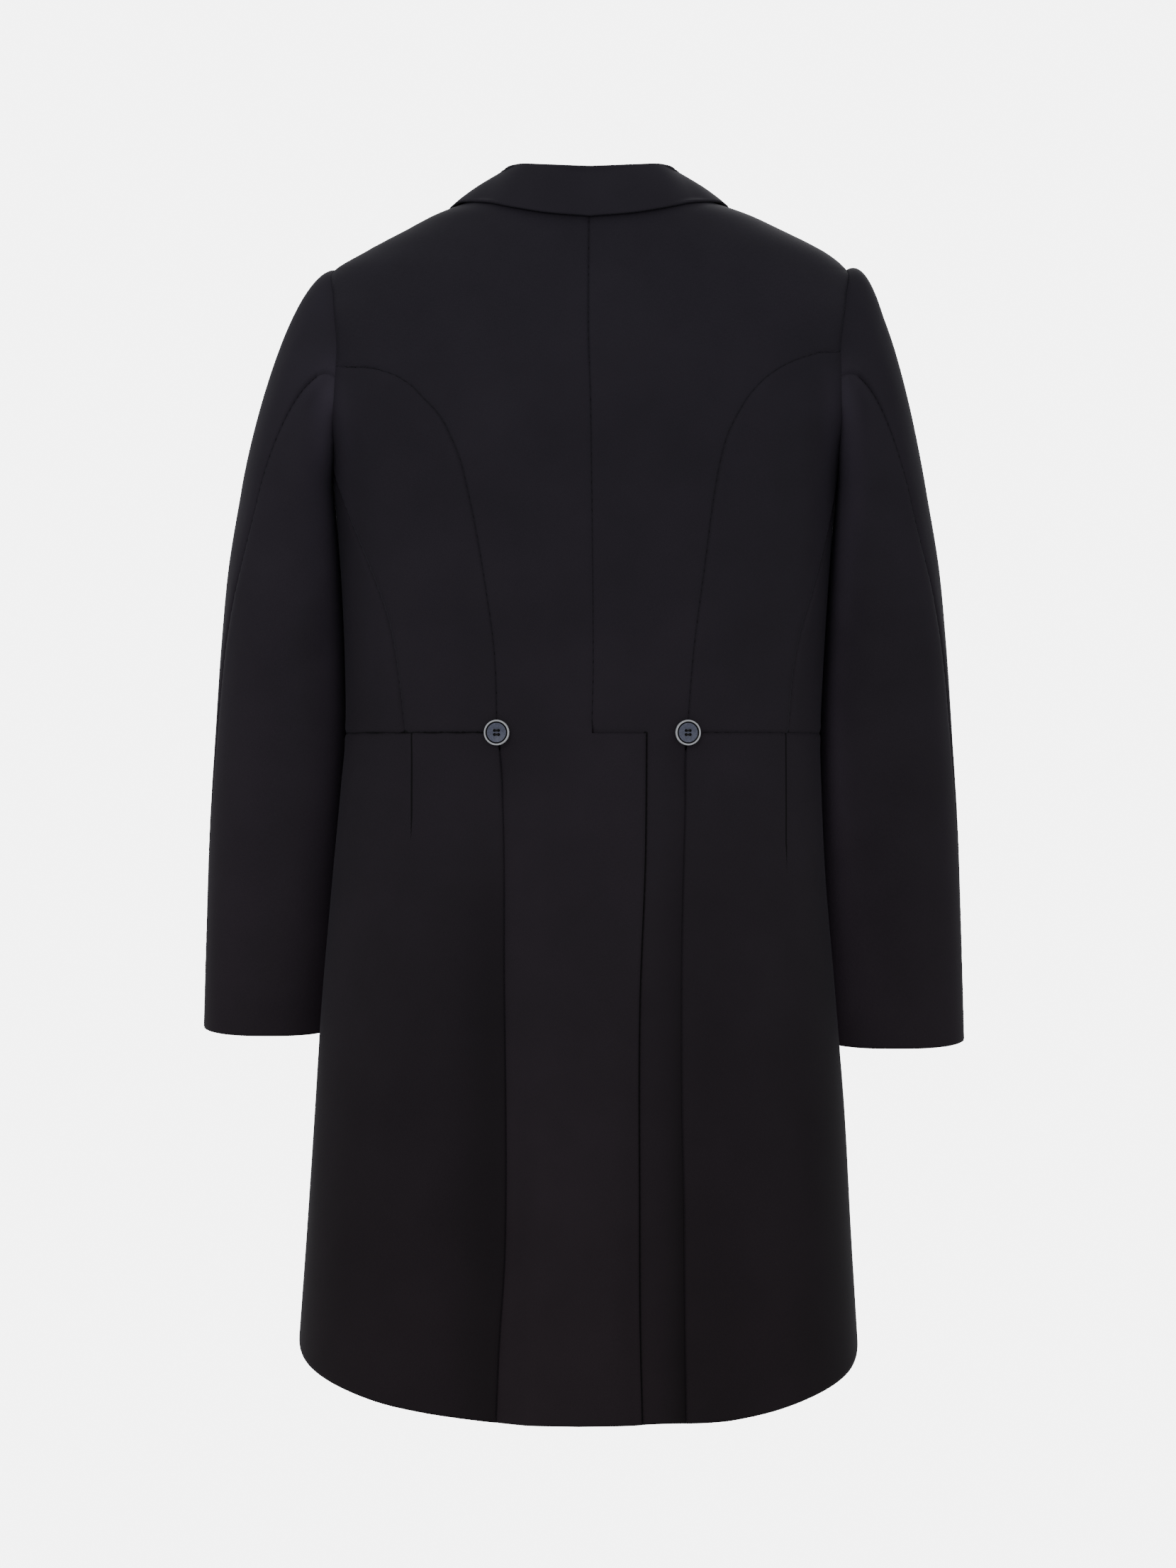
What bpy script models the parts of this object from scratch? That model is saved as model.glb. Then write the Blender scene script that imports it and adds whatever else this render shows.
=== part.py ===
"""A man's black morning coat, upright and filled out as on a wearer, with nobody in it.

The back faces -Y, the wearer's right hand side is +X, and the origin is where the coat hangs from the
shoulders, at the root of the neck. Every piece is a cut piece of cloth: a grid laid on one smooth garment
form and thickened outwards. Lengths are in metres, angles in the tables in degrees.
"""

import math
from collections import namedtuple

import bmesh
import bpy
from mathutils import Vector

COAT = "morning_coat"

CLOTH = 0.0016          # wall of every sewn piece
SEAM = 0.0003           # gap between two pieces at a seam
WAIST = -0.438          # height of the waist seam
NECK = 0.012            # height of the neck seam
ARM_TOP = -0.0545       # top of the armhole, the tip of the shoulder
ARM_BOTTOM = -0.2055    # bottom of the armhole
ARM_HALF_DEPTH = 0.064  # half the armhole, front to back
ARM_MIDDLE = (ARM_TOP + ARM_BOTTOM) / 2
ARM_HALF_HEIGHT = (ARM_TOP - ARM_BOTTOM) / 2
HEM = -0.9988           # lowest point of the tails
PLEAT_TOP = -0.500      # below this the pleats have their folded layers
PLEAT_START = (0.443, 0.492)  # the cloth rolls in towards the pleats between these depths
PLEAT_EDGE = 0.0045     # the skirt's flat part starts this far from its folded edge
TAIL_EDGE = 0.0009      # the tail's edge keeps this far from the folded one
SKIRT_REACH = 0.055     # width of skirt that rolls in
TAIL_REACH = 0.030      # width of tail that rolls in
VENT_TOP = -0.4386      # the lap of the left tail starts just below the waist
VENT_EASE = 0.030       # the lap rises over this much cloth
SKIRT_SINK = 0.0030     # how far the skirt rolls in at its pleat
TAIL_SINK = 0.0080      # how far the tail rolls in to pass under the skirt
UNDERLAY = 0.016        # width of the layers inside a pleat
VENT_LIFT = 0.0024      # how far the lapped tail stands off the one below it
WRAP = 0.018            # how far each front passes the centre
BREAK = -0.400          # height where the lapel starts to turn back
ROLL_AT_NECK = 0.070    # half the front opening at the neck seam
UNDER_FRONT = 0.0054    # how far the right front and its lapel sink below the left one
SLEEVE_LEAN = -0.005    # both sleeves hang this far to the wearer's left
SLEEVE_HEAD_END = -0.235
SLEEVE_HEAD_STEP = 0.28 # the share of the sleeve above that height
SLEEVE_STAND = 0.0011   # the sleeve starts this far off the armhole

Section = namedtuple("Section", "height half_width middle_x widest_y back_y front_y square")
SECTIONS = (
    Section(0.014, 0.0740, 0.000, -0.004, -0.066, 0.050, 2.00),
    Section(0.004, 0.0960, 0.000, -0.004, -0.073, 0.060, 2.00),
    Section(-0.007, 0.1195, 0.000, -0.004, -0.079, 0.068, 2.05),
    Section(-0.021, 0.1460, 0.000, -0.003, -0.086, 0.076, 2.10),
    Section(-0.038, 0.1800, 0.000, -0.002, -0.093, 0.084, 2.20),
    Section(-0.054, 0.2105, 0.000, 0.000, -0.100, 0.091, 2.30),
    Section(-0.080, 0.2240, 0.000, 0.000, -0.110, 0.101, 2.45),
    Section(-0.130, 0.2270, -0.001, 0.000, -0.122, 0.116, 2.50),
    Section(-0.170, 0.2210, -0.002, 0.000, -0.127, 0.125, 2.50),
    Section(-0.205, 0.2115, -0.003, 0.000, -0.128, 0.130, 2.45),
    Section(-0.240, 0.2055, -0.003, 0.000, -0.126, 0.132, 2.40),
    Section(-0.305, 0.2015, -0.004, 0.000, -0.118, 0.130, 2.35),
    Section(-0.369, 0.1980, -0.004, 0.000, -0.108, 0.126, 2.30),
    Section(-0.438, 0.1960, -0.005, 0.000, -0.103, 0.125, 2.30),
    Section(-0.486, 0.1975, -0.006, 0.000, -0.107, 0.127, 2.30),
    Section(-0.545, 0.2015, -0.007, 0.000, -0.118, 0.130, 2.30),
    Section(-0.653, 0.2105, -0.0075, 0.000, -0.132, 0.133, 2.25),
    Section(-0.752, 0.2175, -0.008, 0.000, -0.138, 0.134, 2.25),
    Section(-0.851, 0.2240, -0.009, 0.000, -0.141, 0.135, 2.25),
    Section(-0.938, 0.2300, -0.010, 0.000, -0.144, 0.136, 2.25),
    Section(-1.020, 0.2355, -0.010, 0.000, -0.147, 0.137, 2.25),
)

Line = namedtuple("Line", "height across")
CENTRE_SEAM = (
    Line(0.014, -0.0004),
    Line(-0.101, -0.0012),
    Line(-0.161, 0.0005),
    Line(-0.245, 0.0017),
    Line(-0.384, 0.0028),
    Line(-0.438, 0.0017),
    Line(-1.020, 0.0017),
)
VENT_EDGE = (
    Line(-0.438, 0.0456),
    Line(-0.544, 0.0444),
    Line(-0.649, 0.0402),
    Line(-0.843, 0.0396),
    Line(-0.927, 0.0401),
    Line(-1.000, 0.0418),
)
BACK_SEAM = {
    -1: (
        Line(-0.1364, 0.2120),
        Line(-0.1379, 0.1987),
        Line(-0.1391, 0.1850),
        Line(-0.1432, 0.1679),
        Line(-0.1517, 0.1509),
        Line(-0.1653, 0.1363),
        Line(-0.1782, 0.1241),
        Line(-0.1991, 0.1125),
        Line(-0.2182, 0.1050),
        Line(-0.2395, 0.1000),
        Line(-0.3137, 0.0861),
        Line(-0.3713, 0.0781),
        Line(-0.4380, 0.0757),
    ),
    1: (
        Line(-0.1250, 0.2072),
        Line(-0.1264, 0.1921),
        Line(-0.1299, 0.1785),
        Line(-0.1344, 0.1667),
        Line(-0.1441, 0.1500),
        Line(-0.1589, 0.1339),
        Line(-0.1771, 0.1217),
        Line(-0.1962, 0.1124),
        Line(-0.2158, 0.1070),
        Line(-0.2394, 0.1026),
        Line(-0.3010, 0.0941),
        Line(-0.3713, 0.0850),
        Line(-0.4380, 0.0797),
    ),
}
PLEAT = {
    -1: (
        Line(-0.438, 0.0757),
        Line(-0.477, 0.0729),
        Line(-0.649, 0.0709),
        Line(-0.794, 0.0696),
        Line(-0.867, 0.0707),
        Line(-0.939, 0.0753),
        Line(-1.000, 0.0778),
    ),
    1: (
        Line(-0.438, 0.0797),
        Line(-0.477, 0.0792),
        Line(-0.649, 0.0760),
        Line(-0.746, 0.0765),
        Line(-0.819, 0.0782),
        Line(-0.915, 0.0787),
        Line(-1.000, 0.0798),
    ),
}
Turn = namedtuple("Turn", "height angle")
SIDE_SEAM = {
    -1: (Turn(-0.2055, 90), Turn(-0.240, 79), Turn(-0.270, 73.4), Turn(-0.307, 68.4), Turn(-0.438, 62.4)),
    1: (Turn(-0.2055, 90), Turn(-0.240, 85), Turn(-0.287, 78.6), Turn(-0.360, 71.7), Turn(-0.438, 70.3)),
}
Hem = namedtuple("Hem", "angle height")
HEM_LINE = (
    Hem(0, HEM),
    Hem(20, -0.9978),
    Hem(33, -0.9950),
    Hem(45, -0.9905),
    Hem(55, -0.9840),
    Hem(65, -0.9735),
    Hem(72, -0.9645),
    Hem(80, -0.9525),
    Hem(90, -0.9330),
    Hem(102, -0.9000),
    Hem(115, -0.8500),
    Hem(130, -0.7650),
    Hem(145, -0.6550),
    Hem(158, -0.5550),
    Hem(170, -0.4800),
    Hem(186, -0.4490),
)

SleeveRing = namedtuple("SleeveRing", "height inner outer middle_y half_depth")
SLEEVE = (
    SleeveRing(-0.235, 0.2095, 0.2805, -0.002, 0.074),
    SleeveRing(-0.300, 0.2045, 0.2905, -0.002, 0.071),
    SleeveRing(-0.360, 0.2020, 0.2985, 0.000, 0.068),
    SleeveRing(-0.440, 0.2010, 0.3030, 0.004, 0.064),
    SleeveRing(-0.520, 0.2070, 0.3075, 0.011, 0.059),
    SleeveRing(-0.600, 0.2130, 0.3105, 0.021, 0.054),
    SleeveRing(-0.700, 0.2165, 0.3135, 0.034, 0.049),
)
CUFF = {-1: -0.6800, 1: -0.6900}
CUFF_DIP = 0.0075       # how much lower the cuff is at the back than at its sides
SleeveSeam = namedtuple("SleeveSeam", "step hind fore")
SLEEVE_SEAMS = (
    SleeveSeam(0.00, 78, 322),
    SleeveSeam(0.12, 92, 322),
    SleeveSeam(0.30, 118, 324),
    SleeveSeam(0.50, 152, 328),
    SleeveSeam(0.70, 166, 334),
    SleeveSeam(1.00, 172, 338),
)
VENT_STEP = 0.80        # the cuff opening runs from here to the hem
VENT_GAP = 0.0012

CollarRib = namedtuple("CollarRib", "turn foot_x foot_y foot_z fold_x fold_y fold_z edge_x edge_y edge_z")
COLLAR = (
    CollarRib(0.00, 0.0000, -0.0625, 0.0125, 0.0000, -0.0655, 0.0325, 0.0000, -0.0870, -0.0155),
    CollarRib(0.20, 0.0360, -0.0560, 0.0130, 0.0355, -0.0590, 0.0335, 0.0360, -0.0830, -0.0122),
    CollarRib(0.40, 0.0590, -0.0400, 0.0145, 0.0590, -0.0430, 0.0340, 0.0674, -0.0700, -0.0064),
    CollarRib(0.55, 0.0690, -0.0180, 0.0155, 0.0680, -0.0190, 0.0315, 0.0880, -0.0500, 0.0000),
    CollarRib(0.70, 0.0700, 0.0040, 0.0150, 0.0695, 0.0070, 0.0265, 0.1130, -0.0080, 0.0005),
    CollarRib(0.85, 0.0655, 0.0400, 0.0060, 0.0655, 0.0450, 0.0120, 0.1270, 0.0420, -0.0230),
    CollarRib(1.00, 0.0585, 0.0700, -0.0245, 0.0590, 0.0760, -0.0240, 0.1260, 0.0800, -0.0545),
)
COLLAR_WALL = 0.0018
COLLAR_LIFT = 0.0022    # the fall clears the coat by this much
COLLAR_ROLL_OUT = 0.0022  # the fold bends over this far out
COLLAR_ROLL_UP = 0.0016   # and this far up
COLLAR_BULGE = 0.004      # the fall's middle stands this proud
COLLAR_STEPS = 13       # ribs on each half

LapelRow = namedtuple("LapelRow", "step outer")
LAPEL_EDGE = (
    LapelRow(0.0, -0.012),
    LapelRow(0.2, 0.046),
    LapelRow(0.4, 0.088),
    LapelRow(0.6, 0.121),
    LapelRow(0.8, 0.147),
    LapelRow(1.0, 0.166),
)
LapelTop = namedtuple("LapelTop", "across height")
LAPEL_TOP = (LapelTop(0.0, -0.0300), LapelTop(0.45, -0.0600), LapelTop(1.0, -0.0480))
LAPEL_LIFT = 0.0014     # lapel above the forepart it lies on
LAPEL_BELLY = 0.0045    # how far the roll stands proud
LAPEL_TIP = 0.0025      # how far its peak stands proud

BUTTON_RADIUS = 0.0105
BUTTON_HEIGHT = 0.0036
BUTTON_HOLE = 0.00095
BUTTON_HOLE_OUT = 0.00165
BUTTON_GAP = 0.0006


def read(rows, column, at):
    """The smooth value of a table's column at a place given in its first column."""
    places = [row[0] for row in rows]
    values = [getattr(row, column) for row in rows]
    if places[0] > places[-1]:
        places.reverse()
        values.reverse()
    at = min(max(at, places[0]), places[-1])
    steps = [after - before for before, after in zip(places, places[1:])]
    rises = [(after - before) / step for before, after, step in zip(values, values[1:], steps)]
    slopes = [rises[0]]
    for before, after, one, two in zip(rises, rises[1:], steps, steps[1:]):
        slopes.append(0.0 if before * after <= 0 else (before * two + after * one) / (one + two))
    slopes.append(rises[-1])
    i = 0
    while at > places[i + 1]:
        i += 1
    t = (at - places[i]) / steps[i]
    start = values[i] * (1 + 2 * t) * (1 - t) ** 2 + slopes[i] * steps[i] * t * (1 - t) ** 2
    end = values[i + 1] * t * t * (3 - 2 * t) + slopes[i + 1] * steps[i] * t * t * (t - 1)
    return start + end


def ramp(value, start, end):
    """0 before start, 1 after end and a soft rise between them."""
    t = min(max((value - start) / (end - start), 0.0), 1.0)
    return t * t * (3 - 2 * t)


def blend(start, end, t):
    return start + (end - start) * t


def section(height, front):
    depth = read(SECTIONS, "widest_y", height) - read(SECTIONS, "back_y", height)
    if front:
        depth = read(SECTIONS, "front_y", height) - read(SECTIONS, "widest_y", height)
    return (
        read(SECTIONS, "half_width", height),
        depth,
        read(SECTIONS, "middle_x", height),
        read(SECTIONS, "widest_y", height),
        read(SECTIONS, "square", height),
    )


def form(angle, height):
    """The coat's outer face: angle 0 is the centre back, a quarter turn the wearer's right flank."""
    half, depth, middle, widest, square = section(height, math.cos(angle) < 0)
    side = (abs(math.sin(angle)) / half) ** square
    ahead = (abs(math.cos(angle)) / depth) ** square
    reach = (side + ahead) ** (-1 / square)
    return Vector((middle + reach * math.sin(angle), widest - reach * math.cos(angle), height))


def on_form(angle, height, out=0.0):
    """A point that lies out from the coat's outer face, square to it."""
    small = 0.004
    around = form(angle + small, height) - form(angle - small, height)
    up = form(angle, height + small / 4) - form(angle, height - small / 4)
    return form(angle, height) + around.cross(up).normalized() * out


def angle_of(side, across, height, front=False):
    """Turn from the centre back to a place so far across on one side; past the front centre it goes on."""
    half, depth, middle, _, square = section(height, front)
    x = side * across - middle
    part = min(abs(x) / half, 1.0)
    y = depth * (1 - part**square) ** (1 / square)
    turn = math.atan2(side * x, -y if front else y)
    return turn + math.tau if front and turn < 0 else turn


def arm_angle(side, height, front):
    """Turn to the armhole's edge at a height."""
    part = min(abs(height - ARM_MIDDLE) / ARM_HALF_HEIGHT, 1.0)
    y = ARM_HALF_DEPTH * math.sqrt(1 - part * part)
    half, depth, _, _, square = section(height, front)
    x = half * (1 - (y / depth) ** square) ** (1 / square)
    return math.pi - math.atan2(x, y) if front else math.atan2(x, y)


def nudge(angle, height, distance):
    """The turn that moves a point this far round the form."""
    there = form(angle, height)
    widest = read(SECTIONS, "widest_y", height)
    middle = read(SECTIONS, "middle_x", height)
    return distance / math.hypot(there.x - middle, there.y - widest)


def roll_line(height):
    """How far from the centre the lapel's fold lies, on its own side."""
    return blend(-WRAP, ROLL_AT_NECK, min((height - BREAK) / (NECK - BREAK), 1.0))


def hem_height(angle):
    return read(HEM_LINE, "height", abs(math.degrees(angle)))


def cloth(name, columns, rows, place, side, colour, wall=CLOTH, keep=None):
    """A cut piece: a grid put in place column by column and row by row, and thickened outwards."""
    mesh = bmesh.new()
    bmesh.ops.create_grid(mesh, x_segments=columns, y_segments=rows, size=0.5)
    spots = {}
    for point in mesh.verts:
        spots[point] = (round((point.co.x + 0.5) * columns), round((point.co.y + 0.5) * rows))
    if keep:
        dropped = []
        for face in mesh.faces:
            column = min(spots[point][0] for point in face.verts)
            row = min(spots[point][1] for point in face.verts)
            if not keep(column, row):
                dropped.append(face)
        bmesh.ops.delete(mesh, geom=dropped, context="FACES")
    for point in mesh.verts:
        point.co = place(*spots[point])
    if side < 0:
        bmesh.ops.reverse_faces(mesh, faces=mesh.faces)
    piece = new_piece(name, mesh, colour)
    thick = piece.modifiers.new("wall", "SOLIDIFY")
    thick.thickness = wall
    thick.offset = 1.0
    thick.use_even_offset = True
    return piece


def new_piece(name, mesh, colour):
    data = bpy.data.meshes.new(name)
    mesh.to_mesh(data)
    mesh.free()
    data.shade_smooth()
    piece = bpy.data.objects.new(name, data)
    piece.data.materials.append(material(name, *colour))
    bpy.data.collections[COAT].objects.link(piece)
    return piece


def material(name, red, green, blue, roughness):
    made = bpy.data.materials.new(name)
    made.use_nodes = True
    surface = made.node_tree.nodes["Principled BSDF"]
    surface.inputs["Base Color"].default_value = (red, green, blue, 1.0)
    surface.inputs["Roughness"].default_value = roughness
    surface.inputs["Metallic"].default_value = 0.0
    return made


WOOL = (0.0120, 0.0110, 0.0130, 0.85)
WOOL_UNDER = (0.0100, 0.0095, 0.0115, 0.88)
HORN = (0.0500, 0.0560, 0.0800, 0.35)
# The pleat's folded back edge, from the layer inside to the edge: inward from the edge, out of the form.
PLEAT_FOLD = (
    (UNDERLAY, -0.0012),
    (0.0055, -0.0012),
    (0.0020, -0.0011),
    (0.0013, -0.0006),
    (0.0020, -0.0001),
)
SLEEVE_TURN = 0.05      # sleeve radius that turns a gap into an angle at the hind seam
SLEEVE_FLAT_TURN = 0.1  # the same at the flatter front of the sleeve
NAMES = {-1: "left", 1: "right"}
SHOULDER_ROWS = (NECK, 0.004, -0.006, -0.018, -0.031, -0.044, ARM_TOP, -0.062, -0.074, -0.092, -0.112)
CHEST_ROWS = (-0.135, -0.160, -0.184, ARM_BOTTOM)
BODY_ROWS = (-0.265, -0.295, -0.330, -0.365, -0.400, -0.428, WAIST)
TAIL_ROWS = (VENT_TOP, -0.452, -0.468, -0.484, PLEAT_TOP, -0.540, -0.590, -0.650, -0.710)
LOW_ROWS = (-0.770, -0.830, -0.885, -0.930, -0.968, HEM)
SKIRT_STEPS = (0.0, 0.035, 0.075, 0.1113, 0.18, 0.27, 0.37, 0.47, 0.57, 0.67, 0.76, 0.84, 0.91, 0.96, 1.0)


def seam_rows(side):
    return tuple(row.height for row in BACK_SEAM[side][:10])


def back(side):
    """A whole back with its tail. The left one laps over the right below the waist."""
    heights = SHOULDER_ROWS + seam_rows(side) + BODY_ROWS + TAIL_ROWS + LOW_ROWS
    heights = sorted(heights)
    inner_layers = (UNDERLAY, 0.004)
    laps = (0.34, 0.67, 1.0) if side < 0 else ()
    across_steps = 8
    first = len(inner_layers)
    columns = first + across_steps + len(laps)
    top_of_pleat = heights.index(PLEAT_TOP)
    top_of_vent = heights.index(VENT_TOP)

    def outer_angle(height):
        if height > ARM_TOP:
            return math.pi / 2 - nudge(math.pi / 2, height, SEAM / 2)
        if height > BACK_SEAM[side][0].height:
            return arm_angle(side, height, False)
        table = BACK_SEAM[side] if height >= WAIST else PLEAT[side]
        return angle_of(side, read(table, "across", height), height)

    def centre_angle(height):
        return side * angle_of(1, read(CENTRE_SEAM, "across", height), height)

    def place(column, row):
        height = heights[row]
        edge = outer_angle(height)
        centre = centre_angle(height)
        if column < first:
            edge_x = read(PLEAT[side], "across", height) + inner_layers[column]
            turn = angle_of(side, edge_x, height)
        elif column <= first + across_steps:
            t = (column - first) / across_steps
            away = TAIL_EDGE if height < WAIST else SEAM / 2
            edge -= nudge(edge, height, away)
            centre += nudge(centre, height, SEAM / 2)
            turn = blend(edge, centre, t)
        else:
            lap = laps[column - first - across_steps - 1]
            vent = -angle_of(1, read(VENT_EDGE, "across", height), height)
            turn = blend(centre, vent, lap)
        if height < PLEAT_TOP:
            drop = (height - PLEAT_TOP) / (HEM - PLEAT_TOP)
            height = PLEAT_TOP + drop * (hem_height(turn) - PLEAT_TOP)
        out = vent_lift(side, turn, height) - tail_sink(side, turn, height) - CLOTH
        return on_form(side * turn, height, out)

    def keep(column, row):
        if column < first:
            return row < top_of_pleat
        if column >= first + across_steps:
            return row < top_of_vent
        return True

    return cloth(f"back_{NAMES[side]}", columns, len(heights) - 1, place, -side, WOOL, keep=keep)


def tail_sink(side, turn, height):
    """The tail rolls in towards its pleat."""
    gone = abs(on_form(side * turn, height).x) - read(PLEAT[side], "across", min(height, WAIST))
    return TAIL_SINK * ramp(gone, -TAIL_REACH, -0.001) * ramp(-height, *PLEAT_START)


def vent_lift(side, turn, height):
    if side > 0:
        return 0.0
    x = form(side * turn, height).x
    return VENT_LIFT * ramp(x, -VENT_EASE, 0.001) * ramp(-height, -WAIST - 0.010, -VENT_TOP)


def skirt_sink(side, turn, height):
    """The skirt rolls in towards its pleat, over a broader stretch than the tail does."""
    gone = abs(form(side * turn, height).x) - read(PLEAT[side], "across", height)
    sink = SKIRT_SINK * ramp(-gone, -SKIRT_REACH, -0.002) if math.cos(turn) > 0 else 0.0
    return sink * ramp(-height, *PLEAT_START)


def front_sink(side, turn, height):
    """The right front lies under the left one."""
    if side < 0 or math.cos(turn) > 0:
        return 0.0
    return UNDER_FRONT * ramp(-form(turn, height).x, -0.062, -0.022)


def side_body(side):
    heights = seam_rows(side)[1:] + BODY_ROWS
    heights = sorted(heights)
    columns = 6

    def place(column, row):
        height = heights[row]
        start = angle_of(side, read(BACK_SEAM[side], "across", height + 3 * SEAM), height)
        start += nudge(start, height, SEAM / 2)
        if height > ARM_BOTTOM:
            end = arm_angle(side, height, False)
        else:
            end = math.radians(read(SIDE_SEAM[side], "angle", height))
            end -= nudge(end, height, SEAM / 2)
        return on_form(side * blend(start, end, column / columns), height, -CLOTH)

    return cloth(f"side_body_{NAMES[side]}", columns, len(heights) - 1, place, side, WOOL)


def forepart(side):
    under_arm = tuple(height for height in seam_rows(side) if height < ARM_BOTTOM)
    heights = SHOULDER_ROWS + CHEST_ROWS + under_arm + BODY_ROWS
    heights = sorted(heights)
    columns = 8

    def place(column, row):
        height = heights[row]
        if height > ARM_TOP:
            start = math.pi / 2 + nudge(math.pi / 2, height, SEAM / 2)
        elif height > ARM_BOTTOM:
            start = arm_angle(side, height, True)
        else:
            start = math.radians(read(SIDE_SEAM[side], "angle", height))
            start += nudge(start, height, SEAM / 2)
        end = angle_of(side, max(roll_line(height), -WRAP), height, front=True)
        turn = blend(start, end, column / columns)
        return on_form(side * turn, height, -CLOTH - front_sink(side, turn, height))

    return cloth(f"forepart_{NAMES[side]}", columns, len(heights) - 1, place, side, WOOL)


def skirt(side):
    """Skirt with its back edge folded under to make the pleat, and its front edge cut away."""
    round_steps = 16
    first = len(PLEAT_FOLD)
    columns = first + round_steps
    rows = len(SKIRT_STEPS) - 1
    steps = SKIRT_STEPS[::-1]
    top_of_pleat = steps.index(0.1113)
    top = WAIST - SEAM

    def place(column, row):
        down = steps[row]
        height = blend(top, HEM, down)
        for _ in range(4):
            if column < first:
                turn = angle_of(side, read(PLEAT[side], "across", height) + PLEAT_FOLD[column][0], height)
            else:
                start = angle_of(side, read(PLEAT[side], "across", height) + PLEAT_EDGE, height)
                end = angle_of(side, -WRAP, WAIST, front=True)
                turn = blend(start, end, (column - first) / round_steps)
            height = blend(top, hem_height(turn), down)
        out = PLEAT_FOLD[column][1] if column < first else 0.0
        out -= skirt_sink(side, turn, height) + front_sink(side, turn, height)
        return on_form(side * turn, height, out - CLOTH)

    def keep(column, row):
        return column >= 3 or row < top_of_pleat

    return cloth(f"skirt_{NAMES[side]}", columns, rows, place, side, WOOL, keep=keep)


def sleeve_point(side, around, step):
    """A point of the sleeve's inner face. around is 0 next to the body, a quarter turn at the back."""
    back_way = math.sin(around)
    down_way = math.cos(around)
    if step <= SLEEVE_HEAD_STEP:
        t = step / SLEEVE_HEAD_STEP
        y = -ARM_HALF_DEPTH * back_way
        height = ARM_MIDDLE - ARM_HALF_HEIGHT * down_way
        half, depth, middle, _, square = section(height, y > 0)
        x = side * half * (1 - (abs(y) / depth) ** square) ** (1 / square) + middle
        start = Vector((x + side * SLEEVE_STAND, y, height))
        end = sleeve_ring(side, around, SLEEVE_HEAD_END)
        reach = (end - start).length
        leave = Vector((side, 0.0, 0.0)) * reach * (0.45 + 0.25 * (1 + down_way))
        arrive = Vector((0.0, 0.0, -1.0)) * reach
        one = start * (1 + 2 * t) * (1 - t) ** 2 + leave * t * (1 - t) ** 2
        return one + end * t * t * (3 - 2 * t) + arrive * t * t * (t - 1)
    t = (step - SLEEVE_HEAD_STEP) / (1 - SLEEVE_HEAD_STEP)
    lowest = CUFF[side] - CUFF_DIP * back_way
    return sleeve_ring(side, around, blend(SLEEVE_HEAD_END, lowest, t))


def sleeve_ring(side, around, height):
    inner = read(SLEEVE, "inner", height) + CLOTH
    outer = read(SLEEVE, "outer", height) - CLOTH
    half_depth = read(SLEEVE, "half_depth", height) - CLOTH
    x = (inner + outer) / 2 - (outer - inner) / 2 * math.cos(around)
    y = read(SLEEVE, "middle_y", height) - half_depth * math.sin(around)
    return Vector((side * x + SLEEVE_LEAN, y, height))


def sleeve(side):
    """Top sleeve and under sleeve, with the hindarm seam open at the cuff."""
    head = [SLEEVE_HEAD_STEP * i / 7 for i in range(8)]
    arm = [blend(SLEEVE_HEAD_STEP, 1.0, i / 14) for i in range(1, 15)]
    steps = (head + arm)[::-1]

    def seam(column, step):
        return math.radians(read(SLEEVE_SEAMS, column, step))

    def half_gap(step):
        return (SEAM + VENT_GAP * ramp(step, VENT_STEP, VENT_STEP + 0.03)) / 2 / SLEEVE_TURN

    def place_top(column, row):
        step = steps[row]
        start = seam("hind", step) + half_gap(step)
        end = seam("fore", step) - SEAM / SLEEVE_FLAT_TURN
        return sleeve_point(side, blend(start, end, column / 9), step)

    def place_under(column, row):
        step = steps[row]
        start = seam("fore", step) - math.tau + SEAM / SLEEVE_FLAT_TURN
        end = seam("hind", step) - half_gap(step)
        return sleeve_point(side, blend(start, end, column / 10), step)

    rows = len(steps) - 1
    cloth(f"top_sleeve_{NAMES[side]}", 9, rows, place_top, side, WOOL)
    cloth(f"under_sleeve_{NAMES[side]}", 10, rows, place_under, side, WOOL_UNDER)


def off_body(point, gap):
    """The point moved off the coat if it is nearer than gap."""
    front = point.y > 0
    half, depth, middle, widest, square = section(point.z, front)
    part = abs(point.x - middle) / half
    if part >= 1:
        return point
    reach = depth * (1 - part**square) ** (1 / square) + gap
    if front:
        return Vector((point.x, max(point.y, widest + reach), point.z))
    return Vector((point.x, min(point.y, widest - reach), point.z))


def collar():
    """Stand and fall in one: each rib goes up from the neck seam, over the fold and down to the edge."""
    rows = 9
    stand_rows = 3

    def place(column, row):
        turn = column / COLLAR_STEPS - 1
        side = -1 if turn < 0 else 1
        at = abs(turn)
        foot, fold, edge = (
            Vector((
                side * read(COLLAR, f"{part}_x", at),
                read(COLLAR, f"{part}_y", at),
                read(COLLAR, f"{part}_z", at),
            ))
            for part in ("foot", "fold", "edge")
        )
        outward = (edge - fold).normalized()
        crown = fold + outward * COLLAR_ROLL_OUT + Vector((0.0, 0.0, COLLAR_ROLL_UP))
        if row > rows - stand_rows:
            return blend(fold, foot, (row - (rows - stand_rows)) / stand_rows)
        if row == rows - stand_rows:
            return fold
        down = row / (rows - stand_rows - 1)
        point = blend(edge, crown, down)
        bulge = 4 * down * (1 - down) * COLLAR_BULGE
        return off_body(point + Vector((0.0, 0.0, bulge)), COLLAR_LIFT)

    return cloth("collar", 2 * COLLAR_STEPS, rows, place, 1, WOOL, wall=COLLAR_WALL)


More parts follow.
